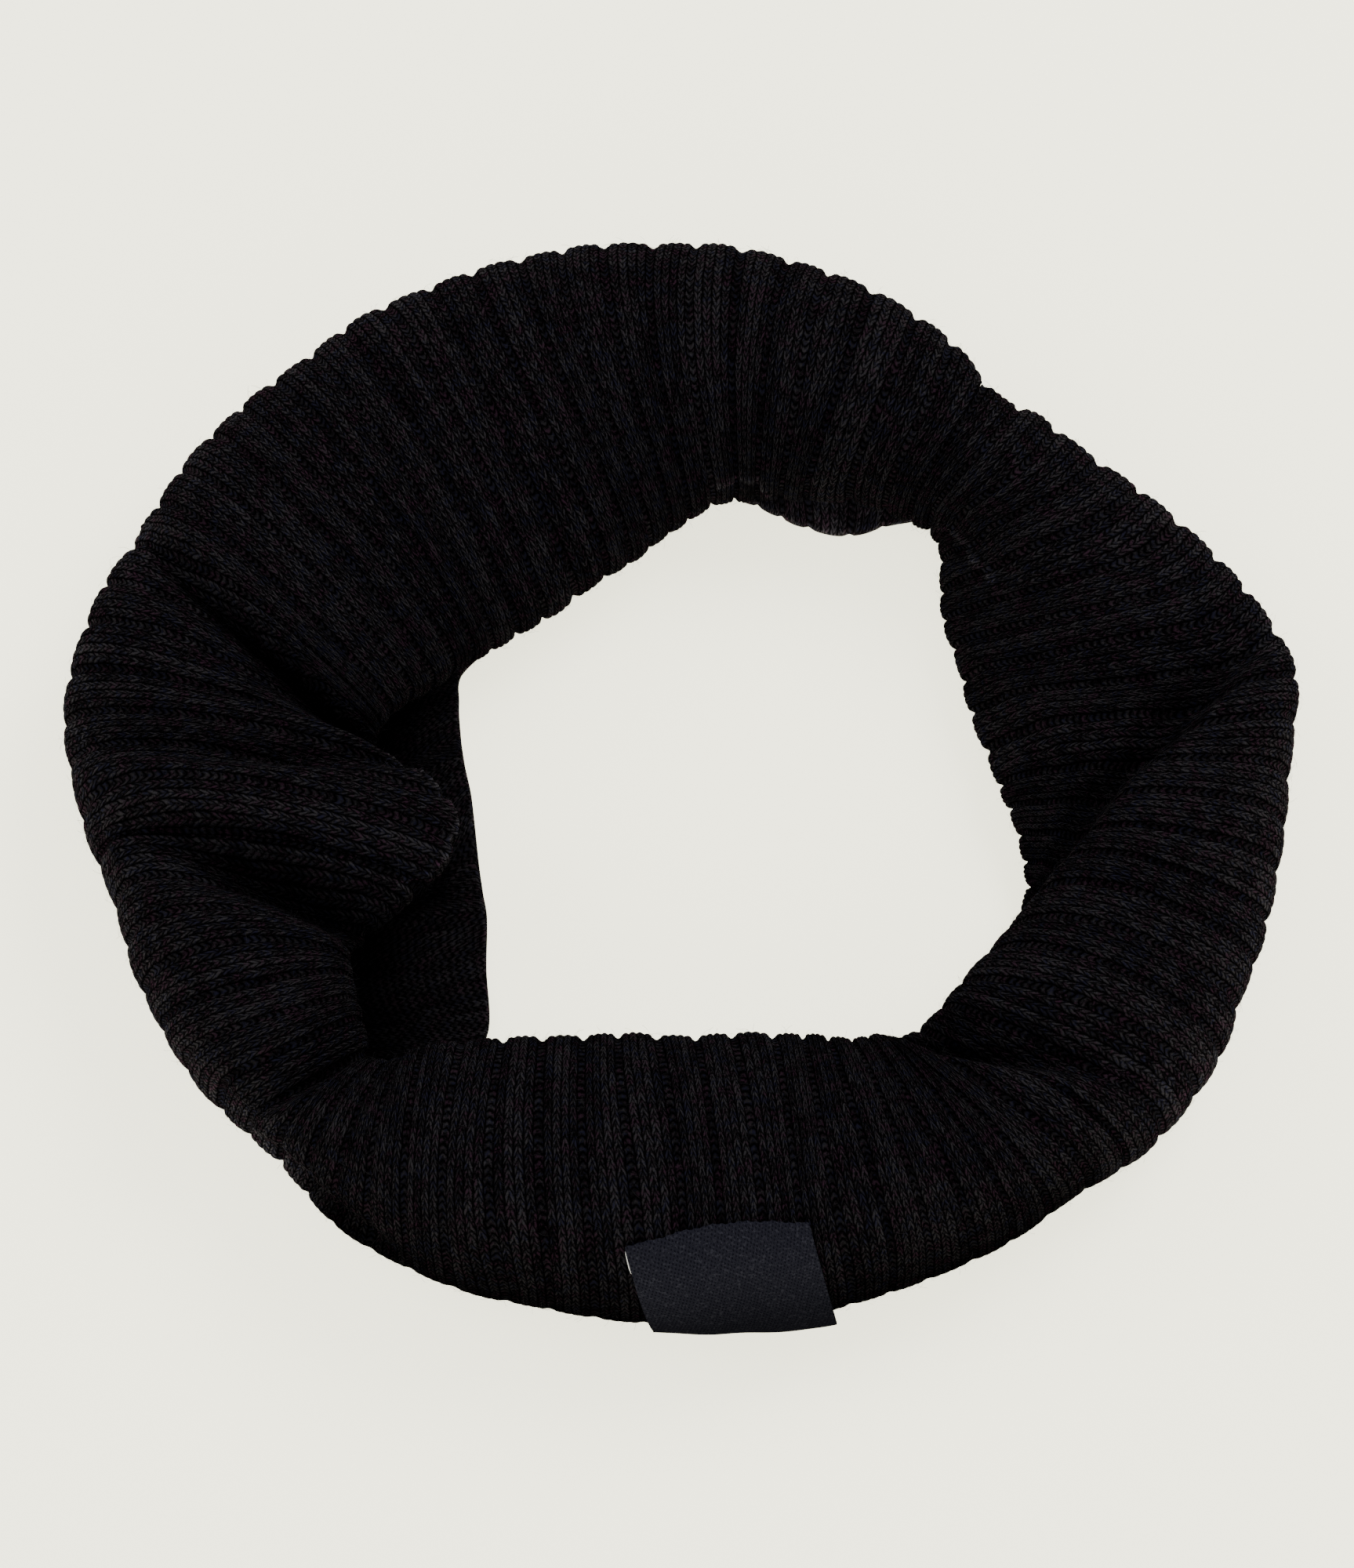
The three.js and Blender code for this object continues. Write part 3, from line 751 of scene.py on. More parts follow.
def dress(piece: bpy.types.Object, material: bpy.types.Material, slot: Slot, *nodes: str) -> None:
    """Gives a piece its material and body, and hides the nodes that it stands for."""
    piece.data.materials.clear()
    piece.data.materials.append(material)
    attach(piece, BODY)
    if nodes:
        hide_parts(*nodes)
    triangles = sum(len(p.vertices) - 2 for p in piece.data.polygons)
    LOG.info("%s: %d triangles, stands for %s", piece.name, triangles, ", ".join(nodes) or "no node")


class StitchBump:
    """Shader group of the knit's stitches, from wale and course numbers."""

    YARN_WANDER_SCALE = 420.0
    ROUND_WALE, BOTH_LEGS = 0.4, 0.6
    COURSE_SHARE, LOOP_WAVE, PURL_HEIGHT = 0.85, 0.22, 0.88
    RECESS, PURL = (0.72, 0.88), (0.8, 0.86)
    PLAIN_RECESS_LOSS = -0.6
    WALE_TONE, STITCH_TONE = (0.8, 0.6), (0.9, 0.45)

    def __init__(self) -> None:
        """Builds the group."""
        bench = group("Knit stitches", "Shader")
        times, fract = bench.times, bench.fract
        (place,) = bench.inputs("Vector", Stitch=None)
        slant, plain, wales, wander = bench.inputs(
            "Float", Slant=1.2, Plain=0.0, Wales_Per_Rib=5.0, Wander=0.45
        )
        noise = bench.noise(Scale=self.YARN_WANDER_SCALE).outputs["Color"]
        centred = bench.vector("SUBTRACT", {0: noise, 1: (0.5, 0.5, 0.5)})
        in_rib, v = bench.parts(bench.vector("ADD", {0: place, 1: bench.scale(centred, wander)}))
        u = bench.math("ADD", in_rib, 0.5)
        side = bench.off_middle(fract(u))
        leaned = times(side, slant, v)
        round_wale = times(times(side, side), -self.ROUND_WALE, self.ROUND_WALE)
        both_legs = times(bench.lobe(side), self.BOTH_LEGS, round_wale)
        course = times(bench.lobe(fract(leaned)), self.COURSE_SHARE, 1 - self.COURSE_SHARE)
        leg = bench.math("SQRT", times(course, both_legs))
        wave = bench.math("COSINE", times(u, 2 * math.pi))
        loop = bench.math("SQRT", bench.lobe(fract(times(wave, self.LOOP_WAVE, v))))
        from_crest = bench.off_middle(fract(bench.math("DIVIDE", in_rib, wales)))
        purl = bench.math("MAXIMUM", bench.ramp(from_crest, *self.PURL), plain)
        recess = times(bench.ramp(from_crest, *self.RECESS), times(plain, self.PLAIN_RECESS_LOSS, 1.0))
        knit_part = times(leg, bench.math("SUBTRACT", 1.0, purl))
        height = times(loop, times(purl, self.PURL_HEIGHT), knit_part)
        column = bench.math("FLOOR", u)
        cell = bench.joined(X=column, Y=bench.math("FLOOR", leaned))
        chance, by_wale = (
            bench.add("ShaderNodeTexWhiteNoise", feeds, noise_dimensions=size).outputs["Value"]
            for feeds, size in (({"Vector": cell}, "2D"), ({"W": column}, "1D"))
        )
        strong = times(by_wale, *self.WALE_TONE)
        tone = times(times(times(chance, chance), *self.STITCH_TONE), strong)
        bench.outputs("Float", Height=height, Recess=recess, Tone=tone)
        self.tree = bench.tree


class HeatherAndPaintedShade:
    """Shader group of the yarn's colour: near black with faint warm and cool flecks, plus painted shade
    between stitches and in rib recesses and painted highlights on stitch crests.
    """

    # Painted highlight on the stitch crests, sharpened by the power, and painted shade in the rib
    # recesses.
    RAISED_POWER, RECESS_SHADE = 3.0, -0.4
    UNEVEN = (0.36, 0.62, 0.3, 1.7)
    WARM_PATCH, WARM_FLECK = (0.5, 0.62), (0.4, 0.56)
    COOL_PATCH, COOL_FLECK = (0.5, 0.38), (0.6, 0.44)

    def __init__(self) -> None:
        """Builds the group."""
        bench = group("Wool heather", "Shader")
        times, ramp = bench.times, bench.ramp
        height, tone, recess, exposure = bench.inputs(
            "Float", Height=0.5, Tone=0.5, Recess=0.0, Exposure=1.0
        )
        grey = (0.02, 0.02, 0.02, 1)
        shade, light, warm, cool = bench.inputs("Color", Shade=grey, Light=grey, Warm=grey, Cool=grey)
        patches = bench.noise(Scale=300.0, Detail=3.0, Roughness=0.7).outputs[0]
        flecks = bench.noise(Scale=1300.0, Detail=2.0, Roughness=0.7).outputs[0]
        # Painted shade and highlight: the colour runs from the shade colour in the gaps between stitches
        # to the light colour on their crests.
        raised = bench.math("POWER", height, self.RAISED_POWER)
        lit = times(times(raised, tone), times(recess, self.RECESS_SHADE, 1.0))
        yarn = bench.mix(times(lit, ramp(flecks, *self.UNEVEN)), shade, light)
        for patch, fleck, colour in (
            (self.WARM_PATCH, self.WARM_FLECK, warm), (self.COOL_PATCH, self.COOL_FLECK, cool)
        ):
            share = times(ramp(patches, *patch), ramp(flecks, *fleck))
            yarn = bench.mix(times(share, raised), yarn, colour)
        # Scaled by the painted light and shade stored on the piece.
        bench.outputs("Color", Color=bench.scale(yarn, exposure))
        bench.outputs("Float", Fleck=flecks)
        self.tree = bench.tree


class Paint:
    """A material with its bench and its Principled node."""

    def __init__(self, name: str, **values: Value) -> None:
        """Starts the material; each keyword sets a socket of the Principled node, with _ for a space."""
        self.material = bpy.data.materials.new(name)
        self.material.use_nodes = True
        self.bench = Bench(self.material.node_tree)
        self.shader = next(n for n in self.bench.tree.nodes if n.type == "BSDF_PRINCIPLED")
        for key, value in values.items():
            self.shader.inputs[key.replace("_", " ")].default_value = value

    def colour(self, value: Value) -> None:
        """Joins the surface's colour."""
        self.bench.feed(self.shader.inputs["Base Color"], value)

    def relief(self, height: Socket, depth: float) -> None:
        """Joins a relief of a depth in millimetres."""
        bump = self.bench.add("ShaderNodeBump", {"Height": height, "Strength": 1.0})
        bump.inputs["Distance"].default_value = depth * MM
        self.bench.feed(self.shader.inputs["Normal"], bump.outputs[0])


@dataclass(frozen=True)
class KnitFinish:
    """Finish of the knitted wool."""

    name: str
    # Shade is the yarn's colour in the gaps between stitches, darkened as painted shade; light its
    # colour on the stitch crests, brightened as a painted highlight.
    shade: Colour
    light: Colour
    warm: Colour
    cool: Colour
    stitch_depth: float
    roughness: float = 1.0
    specular: float = 0.0
    fibre_depth: float = 0.2

    def material(self, stitches: StitchBump, heather_and_shade: HeatherAndPaintedShade) -> bpy.types.Material:
        """Builds the material.

        Args:
            stitches: The group of the stitches.
            heather_and_shade: The group of the yarn's colour, with its painted shade and painted
                highlights.

        Returns:
            The material.
        """
        paint = Paint(self.name, Roughness=self.roughness, Specular_IOR_Level=self.specular)
        bench = paint.bench
        where = bench.add("ShaderNodeUVMap", uv_map=STITCHES).outputs[0]
        knit = bench.use(stitches.tree, Stitch=where, Plain=bench.attribute("plain")).outputs
        colours = {key: (*getattr(self, key.lower()), 1) for key in ("Shade", "Light", "Warm", "Cool")}
        measures = {key: knit[key] for key in ("Height", "Tone", "Recess")}
        # The colour is scaled by the painted light and shade stored on the piece.
        exposure = bench.attribute("exposure")
        wool = bench.use(heather_and_shade.tree, Exposure=exposure, **measures, **colours).outputs
        paint.colour(wool["Color"])
        paint.relief(bench.times(wool["Fleck"], self.fibre_depth, knit["Height"]), self.stitch_depth)
        return paint.material


@dataclass(frozen=True)
class PlainFinish:
    """Finish of fibres and threads."""

    name: str
    colour: Colour
    roughness: float = 0.75
    specular: float = 0.3
    darker: float = 0.7
    patch_scale: float = 700.0

    def material(self) -> bpy.types.Material:
        """Builds the material, a little uneven in colour along the yarn."""
        paint = Paint(self.name, Roughness=self.roughness, Specular_IOR_Level=self.specular)
        dark = tuple(self.darker * channel for channel in self.colour)
        noise = paint.bench.noise(Scale=self.patch_scale).outputs[0]
        paint.colour(paint.bench.mix(noise, (*dark, 1), (*self.colour, 1)))
        return paint.material


@dataclass(frozen=True)
class LabelFinish:
    """Finish of the label's satin weave."""

    name: str = "Label satin weave"
    warp: Colour = (0.0105, 0.0105, 0.0155)
    weft: Colour = (0.0042, 0.0042, 0.0068)
    worn: Colour = (0.028, 0.028, 0.037)
    threads_per_mm: float = 3.0
    weave_depth: float = 0.08
    satin_step: float = 0.4
    satin_length: float = 0.2
    wear: tuple[float, float, float, float] = (0.5, 0.7, 0.0, 0.6)
    roughness: float = 1.0
    specular: float = 0.0

    def material(self) -> bpy.types.Material:
        """Builds the material: fine warp and weft, faintly worn."""
        paint = Paint(self.name, Roughness=self.roughness, Specular_IOR_Level=self.specular)
        bench = paint.bench
        x, y = bench.parts(bench.add("ShaderNodeUVMap", uv_map=STITCHES).outputs[0])
        warp, weft = bench.times(x, self.threads_per_mm), bench.times(y, self.threads_per_mm)
        shift = bench.times(bench.math("FLOOR", warp), self.satin_step)
        over = bench.ramp(bench.fract(bench.times(weft, self.satin_length, shift)), 0.15, 0.3)
        thread, pick = bench.lobe(bench.fract(warp)), bench.lobe(bench.fract(weft))
        noise = bench.noise(Scale=1500.0, Detail=3.0).outputs[0]
        tint = bench.mix(over, (*self.weft, 1), (*self.warp, 1))
        worn = bench.mix(bench.ramp(noise, *self.wear), tint, (*self.worn, 1))
        # The colour is scaled by the painted shade stored on the label.
        paint.colour(bench.scale(worn, bench.attribute("exposure")))
        paint.relief(bench.times(over, bench.math("SUBTRACT", thread, pick), pick), self.weave_depth)
        return paint.material


class RibRaiser:
    """Geometry Nodes that raise ribs and their wales out of a plain wall."""

    SHOULDER = (0.98, 0.72)
    CROWN_DROP, GROOVE_POWER = -0.45, 0.6

    def __init__(self) -> None:
        """Builds the tree."""
        bench = group("Raise the ribs", "Geometry")
        times = bench.times
        (cloth,) = bench.inputs("Geometry", Cloth=None)
        rib_height, wale_depth, wales = bench.inputs(
            "Float", Rib_Height=0.0012, Wale_Depth=0.0003, Wales_Per_Rib=5.0
        )
        (yarn,) = bench.inputs("Material", Yarn=None)
        rib, lift = (
            bench.add("GeometryNodeInputNamedAttribute", {"Name": name}, data_type=kind).outputs[0]
            for name, kind in (("rib", "FLOAT"), ("lift", "FLOAT_VECTOR"))
        )
        phase = bench.fract(rib)
        from_crest = bench.off_middle(phase)
        shoulder = bench.ramp(from_crest, *self.SHOULDER)
        crown = times(times(from_crest, from_crest), self.CROWN_DROP, 1.0)
        column = bench.math("ABSOLUTE", bench.math("COSINE", times(phase, times(wales, math.pi))))
        groove = bench.math("SUBTRACT", bench.math("POWER", column, self.GROOVE_POWER), 1.0)
        rise = times(times(shoulder, crown), rib_height)
        rise = times(groove, times(shoulder, wale_depth), rise)
        feeds = {"Geometry": cloth, "Offset": bench.scale(lift, rise)}
        bench.finish(bench.add("GeometryNodeSetPosition", feeds).outputs[0], yarn, "Cloth")
        self.tree = bench.tree

    def run(
        self, piece: bpy.types.Object, gauge: KnitGauge, material: bpy.types.Material,
        rib_height: float, wale_depth: float,
    ) -> None:
        """Raises the ribs of a piece.

        Args:
            piece: A piece with its ribs and lifts stored on it.
            gauge: Sizes of the knit.
            material: The knit.
            rib_height: How far a rib stands up, in millimetres.
            wale_depth: How deep the groove between two wales is, in millimetres.
        """
        run_nodes(
            piece, self.tree, Rib_Height=rib_height * MM, Wale_Depth=wale_depth * MM,
            Wales_Per_Rib=float(gauge.wales_per_rib), Yarn=material,
        )


@dataclass
class KnitStretch:
    """One stretch of the roll's outer wall, from groove to groove."""

    name: str
    node: str
    first_rib: float
    last_rib: float
    surface: RollSurface
    columns_per_rib: int = 24
    inner_step: int = 6
    foot_rows: int = 9
    wall_rows: int = 118
    edge_rows: int = 5
    across_bend: float = -0.1
    seam: float = 0.008

    def rows(self) -> tuple[Array, Array, Array]:
        """Rows of the outer skin from foot to hem.

        Returns:
            Across coordinate, angle round the wall's edge (0 on the outer side, pi on the inner) and
            how far the row is past the edge, as a share of the wall.
        """
        low, high = self.surface.gauge.across_low, self.surface.gauge.across_high
        foot = np.linspace(low, self.across_bend, self.foot_rows)
        wall = np.linspace(self.across_bend, high, self.wall_rows)[1:]
        angle = np.linspace(0, np.pi, self.edge_rows + 1)[1:]
        across = np.concatenate([[low], foot, wall, np.full(self.edge_rows, high)])
        turn = np.concatenate([[np.pi], np.zeros(len(foot) + len(wall)), angle])
        past = np.concatenate([np.zeros(1 + len(foot) + len(wall)), np.sin(angle) / 2])
        return across, turn, past

    def build(self, raiser: RibRaiser, material: bpy.types.Material) -> bpy.types.Object:
        """Builds the closed wall and raises its ribs.

        Args:
            raiser: The tree that raises the ribs.
            material: The rib knit.

        Returns:
            The piece.
        """
        g, surface = self.surface.gauge, self.surface
        across, turn, past = self.rows()
        count = round((self.last_rib - self.first_rib) * self.columns_per_rib)
        rib = np.linspace(self.first_rib + self.seam, self.last_rib - self.seam, count + 1)
        rr, aa = np.meshgrid(rib, across, indexing="ij")
        edge = surface.hem_edge(rr, aa) * g.hem_edge_rise * (1 + np.cos(turn)) / 2
        skin = surface.point(rr, aa, edge - g.wall * (1 - np.cos(turn)) / 2)
        step = 0.01
        onwards = unit(surface.smooth(rib, g.across_high) - surface.smooth(rib, g.across_high - step))
        skin += onwards[:, None, :] * (past * g.wall)[None, :, None]
        strength = surface.rib_strength(rr, aa) * (1 + np.cos(turn)) / 2

        last_row = len(across) - 1
        middle_rows = range(1 + self.inner_step, last_row + 1 - self.inner_step, self.inner_step)
        inner_rows = [0, *middle_rows, last_row]
        inner_columns = [*range(0, count, self.inner_step), count]
        ir, ia = np.meshgrid(rib[inner_columns], across[inner_rows], indexing="ij")
        lining = surface.point(ir, ia, -g.wall, g.lining_spread)
        outer_id = np.arange(rr.size).reshape(rr.shape)
        inner_id = outer_id.size + np.arange(ir.size).reshape(ir.shape)
        inner_id[:, 0] = outer_id[inner_columns, 0]
        inner_id[:, -1] = outer_id[inner_columns, -1]
        faces = quads(outer_id, closed=False) + self._lining_faces(outer_id, inner_id, inner_columns)
        ends = self._end_faces(outer_id, inner_id, inner_rows)
        points = np.concatenate([skin.reshape(-1, 3), lining.reshape(-1, 3)])
        used = np.unique(np.concatenate([np.asarray(f) for f in faces + ends]))
        renumber = np.zeros(len(points), int)
        renumber[used] = np.arange(len(used))
        faces = [renumber[f].tolist() for f in faces + ends]

        def stored(outer: Array, inner: Array, *size: int) -> Array:
            """Values of the used points, from those of the outer skin and of the inner side."""
            return np.concatenate([outer.reshape(-1, *size), inner.reshape(-1, *size)])[used]

        course = course_numbers(surface.smooth(rr, aa), g.course)
        crest = np.argmin(np.abs(across - 0.5))
        course -= course[:, crest : crest + 1]
        wander = 0.05 * np.sin(2.3 * rr + 4 * aa) + 0.03 * np.sin(7.7 * aa + 0.9 * rr)
        ribs = stored(rr + wander, ir)
        courses = stored(course, course[np.ix_(inner_columns, inner_rows)])
        uv = np.stack([ribs * g.wales_per_rib, courses], -1)
        piece = new_piece(self.name, points[used], faces, uv, len(ends))
        keep_attributes(
            piece,
            rib=ribs,
            lift=stored(surface.normal(rr, aa) * strength[..., None], np.zeros((ir.size, 3)), 3),
            # Painted light and shade for the outer skin; the inner side gets none.
            exposure=stored(surface.exposure(rr, aa), np.ones(ir.size)),
        )
        raiser.run(piece, g, material, g.rib_height, g.wale_depth)
        dress(piece, material, Slot.RIB_KNIT, self.node)
        return piece

    def _lining_faces(self, outer: Array, inner: Array, columns: Sequence[int]) -> list[list[int]]:
        """Faces of the wall's plain inner side, joined to the fine edges of the outer side.

        Args:
            outer: Point numbers of the outer skin.
            inner: Point numbers of the inner side.
            columns: Outer columns that the inner ones stand on.

        Returns:
            The faces.
        """
        faces = []
        last = inner.shape[1] - 1
        for i, (start, end) in enumerate(zip(columns, columns[1:])):
            for j in range(last):
                low, high = list(inner[i : i + 2, j]), list(inner[i : i + 2, j + 1])
                if j == 0:
                    low = list(outer[start : end + 1, 0])
                if j == last - 1:
                    high = list(outer[start : end + 1, -1])
                faces.append(low + high[::-1])
        return faces

    def _end_faces(self, outer: Array, inner: Array, rows: Sequence[int]) -> list[list[int]]:
        """Faces across the wall at both ends of the stretch.

        Args:
            outer: Point numbers of the outer skin.
            inner: Point numbers of the inner side.
            rows: Outer rows that the inner ones stand on.

        Returns:
            The faces.
        """
        faces = []
        for column, flip in ((0, True), (-1, False)):
            for j, (start, end) in enumerate(zip(rows, rows[1:])):
                face = list(outer[column, start : end + 1])
                face += [i for i in (inner[column, j + 1], inner[column, j]) if i not in face]
                faces.append(face[::-1] if flip else face)
        return faces

    def cut(self) -> tuple[float, float]:
        """Width and length of the flat knit that this stretch shows, in metres."""
        g = self.surface.gauge
        across = np.linspace(g.across_low, g.across_high, 120)
        rib = np.linspace(self.first_rib, self.last_rib, 40)
        points = self.surface.smooth(rib[:, None], across[None, :])
        length = np.linalg.norm(np.diff(points, axis=1), axis=-1).sum(1).mean()
        return (self.last_rib - self.first_rib) * g.rib_pitch * MM, float(length) * MM


@dataclass
class TuckedLayers:
    """The layers inside the roll, and the lower layer's edge that shows at the left and the back."""

    surface: RollSurface
    name: str = "tucked_knit"
    node: str = "tucked_layers"
    columns_per_rib: int = 12
    hidden_rows: int = 30
    shown_rows: int = 14
    edge_rows: int = 6
    behind: float = 1.2
    recess_slope: float = 0.12
    edge_round: float = 1.2
    edge_rise: float = 0.94
    foot_gap: float = 1.5
    sag: float = 0.25
    lip_first: float = 25.0
    lip_last: float = 39.5
    lip_inset: float = 2.2
    lip_rib_height: float = 3.2
    # Painted light and shade of the layers: the lip painted lighter, the hidden rows painted darker, and
    # a painted shadow over the shown rows, darkest next to the wall.
    lip_light: float = 1.8
    hidden_light: float = 0.2
    shadow_start: float = 0.2
    shadow_end: float = 0.9
    shadow_light: float = 0.15
    open_light: float = 0.45

    def lip(self, rib: Array) -> Array:
        """Share of the ribs that show on the lower layer's edge, at the back only."""
        start, end = self.lip_first, self.lip_last
        return ease(start, start + 2, rib) * (1 - ease(end - 1, end, rib))

    def columns(self, rib: Array) -> tuple[Array, Array]:
        """Closed sections of the solid.

        Args:
            rib: Rib numbers.

        Returns:
            Points of each section, and the share of the ribs' height at each point.
        """
        g, surface = self.surface.gauge, self.surface
        shape = surface.shape(rib)
        across = np.linspace(g.across_low, g.across_high, self.hidden_rows)
        below = -g.wall - g.layer_gap
        hidden = surface.point(rib[:, None], across[None, :], below, g.lining_spread)
        end = surface.point(rib, g.across_high, 0.0)[:, :2]
        outwards = surface.away_from_hole(rib)
        top = g.layer_thickness
        recess = self.behind + self.recess_slope * np.maximum(0, hidden[:, -1, 2] - top)
        edge_in = unit(shape.top[:, :2] - shape.edge)
        edge = shape.edge + edge_in * (self.lip_inset * self.lip(rib))[:, None]
        foot_in = unit(shape.top[:, :2] - shape.outer[:, :2])
        behind_top = placed(end + outwards * recess[:, None], (hidden[:, -1, 2] + top) / 2)
        behind_low = placed(end + outwards * self.behind, top)
        rim = placed(edge + edge_in * self.edge_round, top * self.edge_rise)
        share = np.linspace(0, 1, self.shown_rows)[None, :, None]
        shown = behind_low[:, None] * (1 - share) + rim[:, None] * share
        shown[..., 2] += self.sag * np.sin(1.9 * rib)[:, None] * np.sin(np.pi * share[..., 0])
        angle = np.linspace(0, np.pi, self.edge_rows + 1)[1:]
        half = top * self.edge_rise / 2
        bend = [
            placed(edge + edge_in * self.edge_round * (1 - math.sin(t)), half + half * math.cos(t))
            for t in angle
        ]
        sole = placed(hidden[:, 0, :2] + foot_in * self.foot_gap, 0.0)
        points = np.concatenate(
            [hidden, behind_top[:, None], shown, np.stack(bend, 1), sole[:, None]], axis=1
        )
        weight = np.zeros(points.shape[:2])
        weight[:, self._shown()] = 1
        weight[:, self._shown().stop : -1] = np.cos(angle / 2)
        return points, weight * self.lip(rib)[:, None]

    def _shown(self) -> slice:
        """The rows of the lower layer that show."""
        return slice(self.hidden_rows + 1, self.hidden_rows + 1 + self.shown_rows)

    def build(self, raiser: RibRaiser, material: bpy.types.Material) -> bpy.types.Object:
        """Builds the solid and raises the ribs of its lip.

        Args:
            raiser: The tree that raises the ribs.
            material: The inner knit.

        Returns:
            The piece.
        """
        g = self.surface.gauge
        rib = np.arange(g.rib_count * self.columns_per_rib) / self.columns_per_rib
        points, weight = self.columns(rib)
        ids = np.arange(weight.size).reshape(weight.shape)
        rib_all = np.repeat(rib[:, None], weight.shape[1], 1)
        uv = np.stack([rib_all * g.wales_per_rib, course_numbers(points, g.course)], -1)
        piece = new_piece(self.name, points, quads(np.vstack([ids, ids[:1]])), uv)
        lift = unit(placed(-self.surface.away_from_hole(rib), 1.0))
        # Painted shade on the hidden rows, a painted shadow on the shown rows that is darkest next to
        # the wall, and painted light on the lip.
        light = np.ones(weight.shape)
        light[:, : self._shown().start] = self.hidden_light
        in_light = ease(self.shadow_start, self.shadow_end, np.linspace(0, 1, self.shown_rows))
        light[:, self._shown()] = self.shadow_light + self.open_light * in_light
        lip = self.lip(rib)[:, None]
        keep_attributes(
            piece,
            rib=rib_all,
            lift=lift[:, None, :] * weight[..., None],
            exposure=light * (1 - lip) + (1 + self.lip_light) * lip,
            plain=np.repeat(1 - lip, weight.shape[1], 1),
        )
        raiser.run(piece, g, material, self.lip_rib_height, 0.0)
        dress(piece, material, Slot.INNER_KNIT, self.node)
        return piece


@dataclass
class WovenLabel:
    """The woven label that lies over the lower front edge."""

    surface: RollSurface
    name: str = "woven_label"
    node: str = "label"
    first_rib: float = 64.22
    last_rib: float = 68.52
    slant: float = 0.6
    slant_left: float = 0.75
    fold_up: float = 0.33
    tilt: float = 0.04
    bow: float = 0.035
    low_across: float = -0.16
    high_across: float = 0.308
    lift: float = 0.4
    stand_off: float = 2.2
    stand_off_left: float = 0.3
    stand_off_reach: float = 0.2
    thickness: float = 0.9
    edge_round: float = 0.008
    columns: int = 72
    rows: int = 60
    edge_rows: int = 3
    fray: float = 0.25
    width: float = 44.0
    height_share: float = 0.8
    # Painted shade: the label is darker towards its lower edge.
    low_light: float = 0.35

    def point(self, along: Array, up: Array, height: Array) -> Array:
        """Points over the label.

        Args:
            along: Share of its width, from the right.
            up: Share of its height, from the fold below the edge.
            height: Height over the tops of the ribs, in millimetres.

        Returns:
            Points, in millimetres.
        """
        bow = self.bow * np.sin(np.pi * np.clip(along, 0, 1))
        top = self.high_across + self.tilt * (0.5 - along) + bow
        across = self.low_across + (top - self.low_across) * up
        slant = between(self.slant, self.slant_left, along)
        rib = between(self.first_rib, self.last_rib, along) + slant * np.maximum(up, self.fold_up)
        buckle = 0.16 * np.sin(7 * along + 2 * up) + 0.1 * np.sin(17 * along + 5 * up + 1)
        stand_off = between(self.stand_off, self.stand_off_left, along)
        loose = self.lift + height + buckle + stand_off * dip(np.abs(across) / self.stand_off_reach)
        rib_height = self.surface.gauge.rib_height * self.surface.rib_strength(rib, across)
        return self.surface.point(rib, across, rib_height + loose)

    def build(self, material: bpy.types.Material) -> bpy.types.Object:
        """Builds the closed strip with rounded edges.

        Args:
            material: The satin weave.

        Returns:
            The piece.
        """
        up = np.linspace(0, 1, self.rows)
        bends = np.linspace(0, np.pi, self.edge_rows + 2)[1:-1]
        past = np.sin(bends) * self.edge_round
        rows_up = np.concatenate([up, 1 + past, up[::-1], -past[::-1]])
        turned = np.concatenate([np.zeros(self.rows), bends, np.full(self.rows, np.pi), bends[::-1]])
        aa, uu = np.meshgrid(np.linspace(0, 1, self.columns), rows_up, indexing="ij")
        ragged = self.fray * (np.sin(83 * aa) * np.sin(47 * aa + 1)) / 40
        uu = uu + ragged * ease(0.97, 1.0, uu)
        points = self.point(aa, uu, (self.thickness * (1 + np.cos(turned)) / 2)[None, :])
        ids = np.arange(aa.size).reshape(aa.shape)
        faces = quads(ids) + self._side_faces(ids)
        uv = np.stack([aa * self.width, uu * self.width * self.height_share], -1)
        piece = new_piece(self.name, points, faces, uv)
        # Painted shade, darker towards the label's lower edge.
        keep_attributes(piece, exposure=self.low_light + (1 - self.low_light) * ease(0.3, 0.85, uu))
        dress(piece, material, Slot.LABEL_WEAVE, self.node)
        return piece

    def _side_faces(self, ids: Array) -> list[list[int]]:
        """Faces that close both selvedges, from the front row to the back row of each height."""
        faces = []
        for column, flip in ((ids[0].tolist(), True), (ids[-1].tolist(), False)):
            low, high = 0, len(column) - self.edge_rows - 1
            side = [column[high:] + column[:1]]
            while high - low > 1:
                side.insert(-1, column[low : low + 2] + column[max(high - 1, low + 2) : high + 1])
                low, high = low + 1, high - 1
            faces += [face[::-1] if flip else face for face in side]
        return faces


